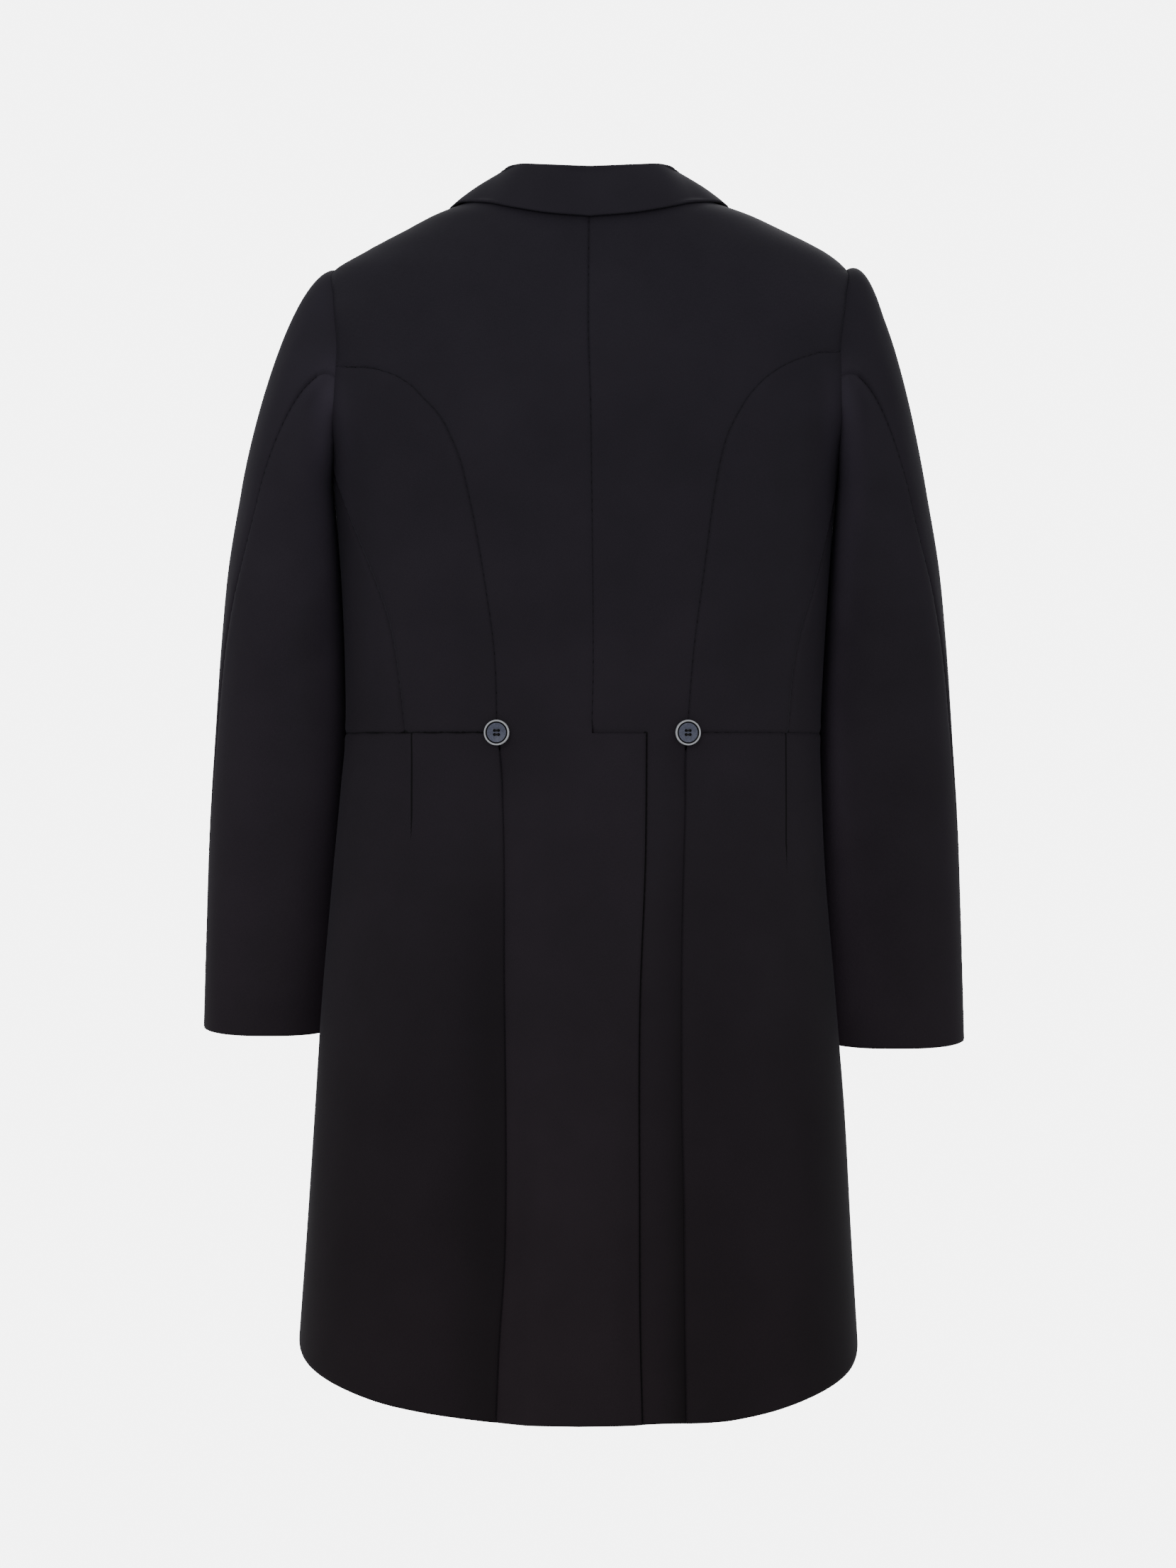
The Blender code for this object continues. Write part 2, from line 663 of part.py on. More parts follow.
def lapel(side):
    columns = 6
    rows = 12

    def place(column, row):
        across = column / columns
        up = row / rows
        height = blend(BREAK, read(LAPEL_TOP, "height", across), up)
        inner = roll_line(height)
        outer = read(LAPEL_EDGE, "outer", up)
        turn = angle_of(side, blend(inner, outer, across), height, front=True)
        belly = LAPEL_BELLY * math.sin(math.pi * across) * ramp(up, 0.25, 0.6) * (1 - across)
        belly += LAPEL_TIP * ramp(across, 0.4, 1.0) * ramp(up, 0.6, 0.9)
        return on_form(side * turn, height, LAPEL_LIFT + belly - front_sink(side, turn, height))

    return cloth(f"lapel_{NAMES[side]}", columns, rows, place, -side, WOOL_UNDER)


def button(name, angle, height, out):
    """A turned button with a raised rim and four holes."""
    profile = (
        (0.0, 0.0),
        (BUTTON_RADIUS - 0.0014, 0.0),
        (BUTTON_RADIUS, 0.0012),
        (BUTTON_RADIUS, BUTTON_HEIGHT - 0.0007),
        (BUTTON_RADIUS - 0.0007, BUTTON_HEIGHT),
        (BUTTON_RADIUS - 0.0017, BUTTON_HEIGHT - 0.0003),
        (BUTTON_RADIUS - 0.0024, BUTTON_HEIGHT - 0.0012),
        (0.0, BUTTON_HEIGHT - 0.0012),
    )
    sides = 22
    mesh = bmesh.new()
    points = [mesh.verts.new((across, 0.0, up)) for across, up in profile]
    edges = [mesh.edges.new(pair) for pair in zip(points, points[1:])]
    bmesh.ops.spin(
        mesh, geom=points + edges, axis=(0, 0, 1), cent=(0, 0, 0), steps=sides, angle=math.tau, use_merge=True
    )
    bmesh.ops.remove_doubles(mesh, verts=mesh.verts, dist=0.00001)
    bmesh.ops.recalc_face_normals(mesh, faces=mesh.faces)
    piece = new_piece(name, mesh, HORN)
    piece.data.set_sharp_from_angle(angle=math.radians(40))
    spot = on_form(angle, height, out)
    outward = on_form(angle, height, out + 0.01) - spot
    piece.location = spot
    piece.rotation_mode = "QUATERNION"
    piece.rotation_quaternion = outward.to_track_quat("Z", "Y")
    for i in range(4):
        hole_at(piece, i)
    return piece


def hole_at(piece, index):
    turn = math.tau * (index + 0.5) / 4
    reach = BUTTON_HOLE_OUT * math.sqrt(2)
    mesh = bmesh.new()
    bmesh.ops.create_cone(
        mesh, cap_ends=True, segments=6, radius1=BUTTON_HOLE, radius2=BUTTON_HOLE, depth=3 * BUTTON_HEIGHT
    )
    for point in mesh.verts:
        point.co.x += reach * math.cos(turn)
        point.co.y += reach * math.sin(turn)
    data = bpy.data.meshes.new(f"{piece.name}_hole_{index}")
    mesh.to_mesh(data)
    mesh.free()
    cutter = bpy.data.objects.new(data.name, data)
    cutter.parent = piece
    cutter.hide_render = True
    cutter.display_type = "WIRE"
    bpy.data.collections["cutters"].objects.link(cutter)
    cut = piece.modifiers.new(f"hole_{index}", "BOOLEAN")
    cut.operation = "DIFFERENCE"
    cut.object = cutter


def main():
    for old in list(bpy.data.objects):
        bpy.data.objects.remove(old)
    for name in (COAT, "cutters"):
        bpy.context.scene.collection.children.link(bpy.data.collections.new(name))
    for side in (-1, 1):
        back(side)
        side_body(side)
        forepart(side)
        skirt(side)
        sleeve(side)
        lapel(side)
        turn = angle_of(side, read(PLEAT[side], "across", WAIST), WAIST)
        button(f"back_button_{NAMES[side]}", side * turn, WAIST, BUTTON_GAP)
    collar()
    button("front_button", math.pi, WAIST + 0.018, BUTTON_GAP)


main()
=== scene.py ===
"""The look of a man's black morning coat, filled out and seen from behind: its cloth, seams and buttons."""

import math
from collections import namedtuple

import bmesh
import bpy
import numpy as np
from mathutils import Matrix, Vector
from mathutils.kdtree import KDTree


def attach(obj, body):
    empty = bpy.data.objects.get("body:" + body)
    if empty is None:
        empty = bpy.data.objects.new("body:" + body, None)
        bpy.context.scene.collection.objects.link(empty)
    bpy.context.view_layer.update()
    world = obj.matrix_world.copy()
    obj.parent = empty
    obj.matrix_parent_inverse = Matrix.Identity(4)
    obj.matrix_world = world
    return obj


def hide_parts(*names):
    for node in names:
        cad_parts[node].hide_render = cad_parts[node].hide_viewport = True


bl_info = {
    "name": "Morning coat",
    "version": (1, 0, 0),
    "blender": (4, 5, 0),
    "location": "3D View > Sidebar > Morning coat",
    "description": "Dresses the packed morning coat in fine wool, seams and horn buttons",
    "category": "Object",
}

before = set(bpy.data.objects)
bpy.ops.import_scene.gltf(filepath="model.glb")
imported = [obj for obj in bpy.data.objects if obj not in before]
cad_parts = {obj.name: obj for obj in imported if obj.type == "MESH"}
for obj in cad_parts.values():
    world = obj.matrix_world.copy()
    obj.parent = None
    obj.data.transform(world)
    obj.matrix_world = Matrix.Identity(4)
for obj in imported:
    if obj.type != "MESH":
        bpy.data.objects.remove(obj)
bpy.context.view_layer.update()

# Main places on the coat: heights are measured from the root of the neck
SEAM = -0.0001          # the gap at a seam: below 0 the two pieces overlap by this much
WAIST = -0.438          # height of the waist seam
NECK = 0.012            # height of the neck seam
ARM_TOP = -0.0545       # top of the armhole, the tip of the shoulder
ARM_BOTTOM = -0.2055    # bottom of the armhole
ARM_HALF_DEPTH = 0.064  # half the armhole, front to back
ARM_MIDDLE = (ARM_TOP + ARM_BOTTOM) / 2
ARM_HALF_HEIGHT = (ARM_TOP - ARM_BOTTOM) / 2
HEM = -1.0006           # lowest point of the tails
VENT_TOP = -0.4386      # the lap of the left tail starts just below the waist
PLEAT_TOP = -0.452      # below this the pleats have their folded layers
WRAP = 0.018            # how far each front passes the centre
BREAK = -0.400          # height where the lapel starts to turn back
ROLL_AT_NECK = 0.070    # half the front opening at the neck seam
NAMES = {-1: "left", 1: "right"}

# Thickness of the cloth and how pieces lie on each other
CLOTH = 0.0010          # wall of every sewn piece but the collar
COLLAR_CLOTH = 0.0018   # the collar is two layers
PLEAT_EDGE = 0.0045     # the skirt's flat part starts this far from its folded edge
TAIL_EDGE = 0.0009      # the tail's edge keeps this far from the folded one
UNDERLAY = 0.016        # width of the layers inside a pleat
VENT_LIFT = 0.0024      # how far the lapped tail stands off the one below it
VENT_EASE = 0.030       # it rises over this much cloth
UNDER_FRONT = 0.0054    # how far the right front and its lapel sink below the left one
FRONT_LEVEL = 0.062     # it starts to sink this far from the centre
FRONT_SUNK = 0.022      # and lies fully below from here on
SLEEVE_LEAN = -0.005    # both cuffs hang this far to the wearer's left
SLEEVE_HEAD_END = -0.235    # height where the sleeve's head ends and its arm starts
SLEEVE_HEAD_STEP = 0.28     # the share of the sleeve above that height
SLEEVE_RADIUS = 0.05    # turns widths round the sleeve into angles
SLEEVE_STAND = -0.0012  # the sleeve starts this far off the armhole, so that it overlaps its edge
UNDERARM_EASE = 0.0004  # and this much further under the arm, where it hangs straight down
SLEEVE_SQUARE = 2.7     # 2 is an oval, more is squarer
HEAD_OUT = 0.70         # how strongly the sleeve leaves the armhole sideways, half way down it
HEAD_OUT_LOW = 0.25     # more towards its bottom and less towards its top
UNDERARM_IN = -0.20     # under the arm it leaves towards the body
UNDERARM_DROP = 0.9     # and downwards
SLEEVE_RISE = {-1: 0.0, 1: 0.0060}      # the right sleeve head stands up beside the shoulder's tip
RISE_REACH = 0.36       # over this share of the head
HIND_FADE = 0.07        # the hindarm seam only shows below this share of the sleeve
COLLAR_LIFT = 0.0022    # the fall clears the coat by this much
CROWN_OUT = 0.0022      # the collar turns over this far out from its fold
CROWN_UP = 0.0016       # and this much higher
FALL_BULGE = 0.016      # the fall bows up by a quarter of this between its fold and its edge
LAPEL_LIFT = 0.0014     # lapel above the forepart it lies on
LAPEL_BELLY = 0.0045    # how far the roll stands proud
LAPEL_TIP = 0.0025      # how far its peak stands proud

# The weave, and how the cloth rises and dips beside a seam
YARN_ACROSS = 2400.0    # how finely the weave changes across a yarn, per metre
YARN_ALONG = 420.0      # and along it
WEAVE_RISE = 0.00025
DIP_WIDTH = 0.0018      # half the width of the dip
ROLL_PLACE = 0.006      # the soft rise beside a seam is highest this far from it
ROLL_WIDTH = 0.004      # and falls away over this much
ROLL_SHARE = 0.30       # its height as a share of the seam's depth
PUCKER_PLACE = 0.004    # the puckers are strongest this far from the seam
PUCKER_WIDTH = 0.006    # and fade over this much
PUCKER_RADIAN = 0.0021  # way along the seam for one radian of a pucker's wave, so 13 mm for a whole one
DRIFT_RADIAN = 0.013    # the same for a slower wave that makes the puckers uneven in length
SWELL_RADIAN = 0.031    # and for one that makes them uneven in height

# Buttons, light and camera
FRONT_BUTTON = 0.018    # height of the front button above the waist seam
DISC_SINK = 0.0012      # a button's disc lies this far below the top of its rim
THREAD_RISE = 0.0001    # and the middle of its thread this far above the disc
HOLE_SPREAD = 0.00165   # how far a button's holes lie from its middle, each way
HOLE_RADIUS = 0.0011
HOLE_SHADE = 0.0002     # the dark round a hole reaches this far past it
STRAND = (0.0022, 0.00042, 0.00055)     # half the length, width and height of a strand of thread
STRAND_APART = 0.0004   # half the distance between two strands
SHANK = (0.0022, 0.0019, 0.0012)        # its radius at the cloth and under the button, and its length
CAMERA_SPOT = (-0.0015, -6.0, -0.480)   # behind the coat
HALF_VIEW = 0.6506      # half the height that the picture shows at the coat
COAT_MIDDLE = (0.0, 0.0, -0.45)
FLOOR_RADIUS = 0.6

# The body's cross sections: an oval at each height, rounder at 2 and squarer above it
Section = namedtuple("Section", "height half_width middle_x widest_y back_y front_y square")
SECTIONS = (
    Section(0.014, 0.0740, 0.000, -0.004, -0.066, 0.050, 2.00),
    Section(0.004, 0.0960, 0.000, -0.004, -0.073, 0.060, 2.00),
    Section(-0.007, 0.1265, 0.0015, -0.004, -0.079, 0.068, 2.05),
    Section(-0.021, 0.1555, 0.0033, -0.003, -0.086, 0.076, 2.10),
    Section(-0.038, 0.1885, 0.0042, -0.002, -0.093, 0.084, 2.20),
    Section(-0.054, 0.2125, 0.0008, 0.000, -0.100, 0.091, 2.30),
    Section(-0.080, 0.2240, 0.000, 0.000, -0.110, 0.101, 2.45),
    Section(-0.130, 0.2270, -0.001, 0.000, -0.122, 0.116, 2.50),
    Section(-0.170, 0.2210, -0.002, 0.000, -0.127, 0.125, 2.50),
    Section(-0.205, 0.2115, -0.003, 0.000, -0.128, 0.130, 2.45),
    Section(-0.240, 0.2078, -0.0040, 0.000, -0.126, 0.132, 2.40),
    Section(-0.305, 0.2026, -0.0040, 0.000, -0.118, 0.130, 2.35),
    Section(-0.369, 0.1990, -0.0045, 0.000, -0.108, 0.126, 2.30),
    Section(-0.438, 0.1970, -0.0058, 0.000, -0.103, 0.125, 2.30),
    Section(-0.486, 0.1995, -0.0073, 0.000, -0.107, 0.127, 2.30),
    Section(-0.545, 0.2035, -0.0088, 0.000, -0.118, 0.130, 2.30),
    Section(-0.653, 0.2125, -0.0090, 0.000, -0.132, 0.133, 2.25),
    Section(-0.752, 0.2197, -0.0083, 0.000, -0.138, 0.134, 2.25),
    Section(-0.851, 0.2257, -0.0090, 0.000, -0.141, 0.135, 2.25),
    Section(-0.938, 0.2315, -0.0095, 0.000, -0.144, 0.136, 2.25),
    Section(-1.020, 0.2368, -0.0098, 0.000, -0.147, 0.137, 2.25),
)

# Seams and edges as seen from behind: how far across each one lies, by height
Line = namedtuple("Line", "height across")
CENTRE_SEAM = (
    Line(0.014, -0.0004),
    Line(-0.101, -0.0012),
    Line(-0.161, 0.0005),
    Line(-0.245, 0.0017),
    Line(-0.384, 0.0028),
    Line(-0.438, 0.0017),
    Line(-1.020, 0.0017),
)
VENT_EDGE = (
    Line(-0.438, 0.0456),
    Line(-0.544, 0.0444),
    Line(-0.649, 0.0402),
    Line(-0.843, 0.0396),
    Line(-0.927, 0.0401),
    Line(-1.000, 0.0418),
)
BACK_SEAM = {
    -1: (
        Line(-0.1364, 0.2120),
        Line(-0.1379, 0.1987),
        Line(-0.1391, 0.1850),
        Line(-0.1432, 0.1679),
        Line(-0.1517, 0.1509),
        Line(-0.1653, 0.1363),
        Line(-0.1782, 0.1241),
        Line(-0.1991, 0.1125),
        Line(-0.2182, 0.1050),
        Line(-0.2395, 0.1000),
        Line(-0.3137, 0.0861),
        Line(-0.3713, 0.0781),
        Line(-0.4380, 0.0757),
    ),
    1: (
        Line(-0.1250, 0.2072),
        Line(-0.1264, 0.1921),
        Line(-0.1299, 0.1785),
        Line(-0.1344, 0.1667),
        Line(-0.1441, 0.1500),
        Line(-0.1589, 0.1339),
        Line(-0.1771, 0.1217),
        Line(-0.1962, 0.1124),
        Line(-0.2158, 0.1070),
        Line(-0.2394, 0.1026),
        Line(-0.3010, 0.0941),
        Line(-0.3713, 0.0850),
        Line(-0.4380, 0.0797),
    ),
}
PLEAT = {
    -1: (
        Line(-0.438, 0.0757),
        Line(-0.477, 0.0729),
        Line(-0.649, 0.0709),
        Line(-0.794, 0.0696),
        Line(-0.867, 0.0707),
        Line(-0.939, 0.0753),
        Line(-1.000, 0.0778),
    ),
    1: (
        Line(-0.438, 0.0797),
        Line(-0.477, 0.0792),
        Line(-0.649, 0.0760),
        Line(-0.746, 0.0765),
        Line(-0.819, 0.0782),
        Line(-0.915, 0.0787),
        Line(-1.000, 0.0798),
    ),
}

# How far skirt and tail sink beside a pleat, and how far from it that reaches
PleatSink = namedtuple("PleatSink", "height skirt tail")
PLEAT_SINK = {
    -1: (
        PleatSink(-0.441, 0.0, 0.0),
        PleatSink(-0.452, 0.0024, 0.0048),
        PleatSink(-0.500, 0.0032, 0.0056),
        PleatSink(-0.650, 0.0062, 0.0086),
        PleatSink(-0.800, 0.0078, 0.0102),
        PleatSink(-1.000, 0.0085, 0.0109),
    ),
    1: (
        PleatSink(-0.441, 0.0, 0.0),
        PleatSink(-0.452, 0.0020, 0.0044),
        PleatSink(-0.500, 0.0022, 0.0046),
        PleatSink(-0.650, 0.0030, 0.0054),
        PleatSink(-0.800, 0.0040, 0.0064),
        PleatSink(-1.000, 0.0045, 0.0069),
    ),
}
PleatReach = namedtuple("PleatReach", "skirt tail")
PLEAT_REACH = {-1: PleatReach(0.070, 0.034), 1: PleatReach(0.045, 0.034)}

# The layers folded inside a pleat: how far across from its edge and how far out each point lies
Layer = namedtuple("Layer", "across out")
PLEAT_LAYERS = (
    Layer(UNDERLAY, -0.0008),
    Layer(0.0124, -0.0008),
    Layer(0.0088, -0.0008),
    Layer(0.0055, -0.0008),
    Layer(0.0028, -0.0008),
    Layer(0.0012, -0.0007),
    Layer(0.0006, -0.0004),
    Layer(0.0012, -0.0001),
)

# The side seam's turn from the centre back by height, and the hem's height by turn, in degrees
Turn = namedtuple("Turn", "height angle")
SIDE_SEAM = {
    -1: (Turn(-0.2055, 90), Turn(-0.240, 79), Turn(-0.270, 73.4), Turn(-0.307, 68.4), Turn(-0.438, 62.4)),
    1: (Turn(-0.2055, 90), Turn(-0.240, 85), Turn(-0.287, 78.6), Turn(-0.360, 71.7), Turn(-0.438, 70.3)),
}
Hem = namedtuple("Hem", "angle height")
HEM_LINE = (
    Hem(0, HEM),
    Hem(20, -0.9993),
    Hem(33, -0.9958),
    Hem(45, -0.9905),
    Hem(55, -0.9840),
    Hem(65, -0.9735),
    Hem(72, -0.9645),
    Hem(80, -0.9525),
    Hem(90, -0.9330),
    Hem(102, -0.9000),
    Hem(115, -0.8500),
    Hem(130, -0.7650),
    Hem(145, -0.6550),
    Hem(158, -0.5550),
    Hem(170, -0.4800),
    Hem(186, -0.4490),
)
HEM_DROP = 0.0062       # the right skirt's corner hangs this much lower than the left one's
DROP_STARTS = (20, 46)  # degrees from which it drops, and where it is lowest
DROP_ENDS = (74, 110)   # and over which it comes level again

# The arm below the sleeve's head: its inner and outer side, and its middle and half depth front to back
SleeveRing = namedtuple("SleeveRing", "height inner outer middle_y half_depth")
SLEEVE = (
    SleeveRing(-0.235, 0.2087, 0.2838, 0.008, 0.073),
    SleeveRing(-0.300, 0.2031, 0.2954, 0.022, 0.070),
    SleeveRing(-0.360, 0.1985, 0.3018, 0.034, 0.067),
    SleeveRing(-0.440, 0.1946, 0.3077, 0.044, 0.063),
    SleeveRing(-0.520, 0.1968, 0.3128, 0.053, 0.058),
    SleeveRing(-0.600, 0.1998, 0.3159, 0.062, 0.053),
    SleeveRing(-0.700, 0.2050, 0.3192, 0.072, 0.048),
)
CUFF = {-1: -0.6825, 1: -0.6932}
CUFF_DIP = 0.0075       # how much lower the cuff is at the back than at its sides

# The sleeve's two seams, in degrees round it from its inner side, by the share of its length
SleeveSeam = namedtuple("SleeveSeam", "step hind fore")
SLEEVE_SEAMS = (
    SleeveSeam(0.00, 78, 322),
    SleeveSeam(0.12, 92, 322),
    SleeveSeam(0.30, 118, 324),
    SleeveSeam(0.50, 152, 328),
    SleeveSeam(0.70, 166, 334),
    SleeveSeam(1.00, 172, 338),
)
VENT_STEP = 0.80        # the cuff opening runs from here to the hem
VENT_GAP = 0.0012

# The collar from its middle, 0, to its end, 1: foot of the stand, fold, and edge of the fall
CollarRib = namedtuple("CollarRib", "turn foot_x foot_y foot_z fold_x fold_y fold_z edge_x edge_y edge_z")
COLLAR = (
    CollarRib(0.00, 0.0000, -0.0625, 0.0125, 0.0000, -0.0655, 0.0261, 0.0000, -0.0870, -0.0155),
    CollarRib(0.20, 0.0360, -0.0560, 0.0130, 0.0355, -0.0590, 0.0280, 0.0360, -0.0830, -0.0122),
    CollarRib(0.40, 0.0580, -0.0400, 0.0145, 0.0575, -0.0430, 0.0295, 0.0665, -0.0700, -0.0064),
    CollarRib(0.55, 0.0670, -0.0180, 0.0155, 0.0660, -0.0190, 0.0280, 0.0850, -0.0500, -0.0020),
    CollarRib(0.70, 0.0690, 0.0040, 0.0150, 0.0680, 0.0070, 0.0238, 0.1070, -0.0200, 0.0005),
    CollarRib(0.85, 0.0655, 0.0400, 0.0060, 0.0655, 0.0450, 0.0110, 0.1250, 0.0420, -0.0175),
    CollarRib(1.00, 0.0585, 0.0700, -0.0245, 0.0590, 0.0760, -0.0240, 0.1260, 0.0800, -0.0545),
)

# The lapel's outer edge by the share of its height, and its top edge from the fold, 0, to the peak, 1
LapelRow = namedtuple("LapelRow", "step outer")
LAPEL_EDGE = (
    LapelRow(0.0, -0.012),
    LapelRow(0.2, 0.046),
    LapelRow(0.4, 0.088),
    LapelRow(0.6, 0.121),
    LapelRow(0.8, 0.147),
    LapelRow(1.0, 0.166),
)
LapelTop = namedtuple("LapelTop", "across height")
LAPEL_TOP = (LapelTop(0.0, -0.0300), LapelTop(0.45, -0.0600), LapelTop(1.0, -0.0480))

# The hip darts, and how bold the painted shade of each kind of line is next to a plain seam
Dart = namedtuple("Dart", "height across")
DART = {
    -1: (Dart(-0.438, 0.1462), Dart(-0.443, 0.1462), Dart(-0.486, 0.1460), Dart(-0.531, 0.1457)),
    1: (Dart(-0.438, 0.1612), Dart(-0.443, 0.1612), Dart(-0.500, 0.1614), Dart(-0.556, 0.1616)),
}
VENT_BOLD = 2.6
PLEAT_BOLD = {-1: 0.8, 1: 1.3}
WAIST_SEAM_BOLD = {-1: 1.7, 1: 1.0}
ARMHOLE_BOLD = 0.7
ARMHOLE_DIP = 0.2       # the armhole seam is pressed towards the sleeve and hardly dips

# Soft folds placed on the body: turns in degrees, the rest in metres
BodyFold = namedtuple("BodyFold", "start_turn start_height end_turn end_height bow width depth")
BODY_FOLDS = (
    BodyFold(-62, -0.185, -30, -0.330, 6, 0.020, -0.0011),
    BodyFold(58, -0.175, 33, -0.310, -5, 0.020, -0.0010),
    BodyFold(-46, -0.100, -26, -0.190, 4, 0.024, 0.0008),
    BodyFold(-70, -0.330, -38, -0.405, 0, 0.012, -0.0008),
    BodyFold(74, -0.335, 44, -0.400, 0, 0.012, -0.0008),
    BodyFold(-34, -0.392, 6, -0.412, 0, 0.013, -0.0007),
    BodyFold(10, -0.398, 38, -0.386, 0, 0.013, -0.0006),
    BodyFold(-30, -0.030, -6, -0.056, 0, 0.014, 0.0006),
    BodyFold(26, -0.034, 7, -0.058, 0, 0.014, 0.0006),
    BodyFold(-44, -0.520, -40, -0.985, 3, 0.026, 0.0022),
    BodyFold(-66, -0.560, -62, -0.960, 2, 0.024, -0.0018),
    BodyFold(-82, -0.600, -78, -0.900, 0, 0.022, 0.0014),
    BodyFold(46, -0.540, 44, -0.980, -2, 0.026, 0.0018),
    BodyFold(64, -0.500, 60, -0.965, 0, 0.022, -0.0018),
    BodyFold(-12, -0.560, -10, -0.996, 0, 0.024, 0.0014),
    BodyFold(4, -0.600, 5, -0.996, 0, 0.018, -0.0012),
    BodyFold(120, -0.520, 112, -0.860, 0, 0.026, 0.0018),
    BodyFold(-122, -0.520, -114, -0.850, 0, 0.026, 0.0018),
    BodyFold(112, -0.240, 128, -0.400, 0, 0.022, -0.0010),
    BodyFold(-112, -0.250, -130, -0.400, 0, 0.022, -0.0010),
)

# And on the sleeves: degrees round the sleeve and shares of its length
SleeveFold = namedtuple("SleeveFold", "side start_around start_step end_around end_step width depth")
SLEEVE_FOLDS = (
    SleeveFold(-1, 60, 0.30, 140, 0.42, 0.018, -0.0014),
    SleeveFold(-1, 30, 0.36, 110, 0.50, 0.015, 0.0010),
    SleeveFold(-1, 20, 0.46, 120, 0.56, 0.016, -0.0012),
    SleeveFold(-1, 90, 0.55, 110, 0.92, 0.020, 0.0010),
    SleeveFold(1, 70, 0.28, 140, 0.40, 0.018, -0.0012),
    SleeveFold(1, 25, 0.40, 115, 0.50, 0.015, -0.0012),
    SleeveFold(1, 30, 0.50, 100, 0.60, 0.015, 0.0010),
    SleeveFold(1, 80, 0.58, 100, 0.92, 0.020, 0.0010),
    SleeveFold(-1, 230, 0.50, 330, 0.56, 0.016, -0.0016),
    SleeveFold(-1, 240, 0.58, 320, 0.60, 0.014, 0.0014),
    SleeveFold(1, 230, 0.48, 330, 0.54, 0.016, -0.0016),
    SleeveFold(1, 240, 0.57, 325, 0.62, 0.014, 0.0014),
)

# Upright bands of painted light and painted shade on the cloth: each starts at a top and is seen where y is
# less than front.
# On a sleeve, across is measured from its inner side.
Tone = namedtuple("Tone", "across width top ease strength front")
WHOLE = 9.0             # a tone this wide covers a piece from edge to edge
LOWER_DARK = Tone(0.0, WHOLE, -0.500, 0.280, -0.17, 1.0)
BACK_LIGHT = Tone(0.0, 0.140, -0.280, 0.120, 0.06, 0.0)
BY_BODY = Tone(0.000, 0.030, -0.350, 0.150, 0.60, 0.2)
BY_LEFT_ARM = Tone(-0.207, 0.012, -0.120, 0.050, 0.60, 0.2)
BY_RIGHT_ARM = Tone(0.203, 0.012, -0.120, 0.050, 0.60, 0.2)
LEFT_SLEEVE = (
    Tone(0.0, WHOLE, 0.100, 0.010, 0.17, 1.0),
    Tone(0.000, 0.018, -0.110, 0.080, 2.00, 0.2),
    BY_BODY,
)
RIGHT_SLEEVE = (
    Tone(0.0, WHOLE, 0.100, 0.010, -0.05, 1.0),
    Tone(0.000, 0.014, -0.110, 0.080, 1.50, 0.2),
    BY_BODY,
)
TONES = {
    "back_left_cloth": (
        Tone(-0.060, 0.022, -0.470, 0.100, 0.06, 0.0),
        Tone(0.035, 0.014, -0.600, 0.200, -0.16, 0.0),
        BY_LEFT_ARM,
        BACK_LIGHT,
    ),
    "back_right_cloth": (
        Tone(0.080, 0.020, -0.470, 0.120, -0.24, 0.0),
        Tone(0.083, 0.013, -0.600, 0.200, -0.30, 0.0),
        BY_RIGHT_ARM,
        BACK_LIGHT,
        LOWER_DARK,
    ),
    "side_body_left_cloth": (BY_LEFT_ARM,),
    "side_body_right_cloth": (BY_RIGHT_ARM,),
    "skirt_left_cloth": (Tone(-0.078, 0.030, -0.470, 0.160, -0.28, 0.0), LOWER_DARK),
    "skirt_right_cloth": (
        Tone(0.100, 0.030, -0.480, 0.120, -0.08, 0.0),
        Tone(0.205, 0.035, -0.520, 0.150, -0.26, 1.0),
        LOWER_DARK,
    ),
    "top_sleeve_left_cloth": LEFT_SLEEVE,
    "under_sleeve_left_cloth": LEFT_SLEEVE,
    "top_sleeve_right_cloth": RIGHT_SLEEVE,
    "under_sleeve_right_cloth": RIGHT_SLEEVE,
}

# Each piece laid flat: width, length and area of its cut, how it is held and what it rests on
Cut = namedtuple("Cut", "width length area held rests_on")


def read(rows, column, at):
    """The smooth values of a table's column at places given in its first column."""
    places = np.array([row[0] for row in rows], float)
    values = np.array([getattr(row, column) for row in rows], float)
    if places[0] > places[-1]:
        places = places[::-1]
        values = values[::-1]
    at = np.clip(np.asarray(at, float), places[0], places[-1])
    steps = np.diff(places)
    rises = np.diff(values) / steps
    inner = (rises[:-1] * steps[1:] + rises[1:] * steps[:-1]) / (steps[:-1] + steps[1:])
    inner = np.where(rises[:-1] * rises[1:] <= 0, 0.0, inner)
    slopes = np.concatenate((rises[:1], inner, rises[-1:]))
    i = np.clip(np.searchsorted(places, at, side="right") - 1, 0, len(steps) - 1)
    t = (at - places[i]) / steps[i]
    start = values[i] * (1 + 2 * t) * (1 - t) ** 2 + slopes[i] * steps[i] * t * (1 - t) ** 2
    end = values[i + 1] * t * t * (3 - 2 * t) + slopes[i + 1] * steps[i] * t * t * (t - 1)
    return start + end


def ramp(value, start, end):
    """0 before start, 1 after end and a soft rise between them."""
    t = np.clip((value - start) / (end - start), 0.0, 1.0)
    return t * t * (3 - 2 * t)


def blend(start, end, t):
    return start + (end - start) * t


def points(x, y, z):
    return np.stack(np.broadcast_arrays(x, y, z), axis=-1).astype(float)


def section(height, front):
    widest = read(SECTIONS, "widest_y", height)
    behind = widest - read(SECTIONS, "back_y", height)
    ahead = read(SECTIONS, "front_y", height) - widest
    return (
        read(SECTIONS, "half_width", height),
        np.where(front, ahead, behind),
        read(SECTIONS, "middle_x", height),
        widest,
        read(SECTIONS, "square", height),
    )


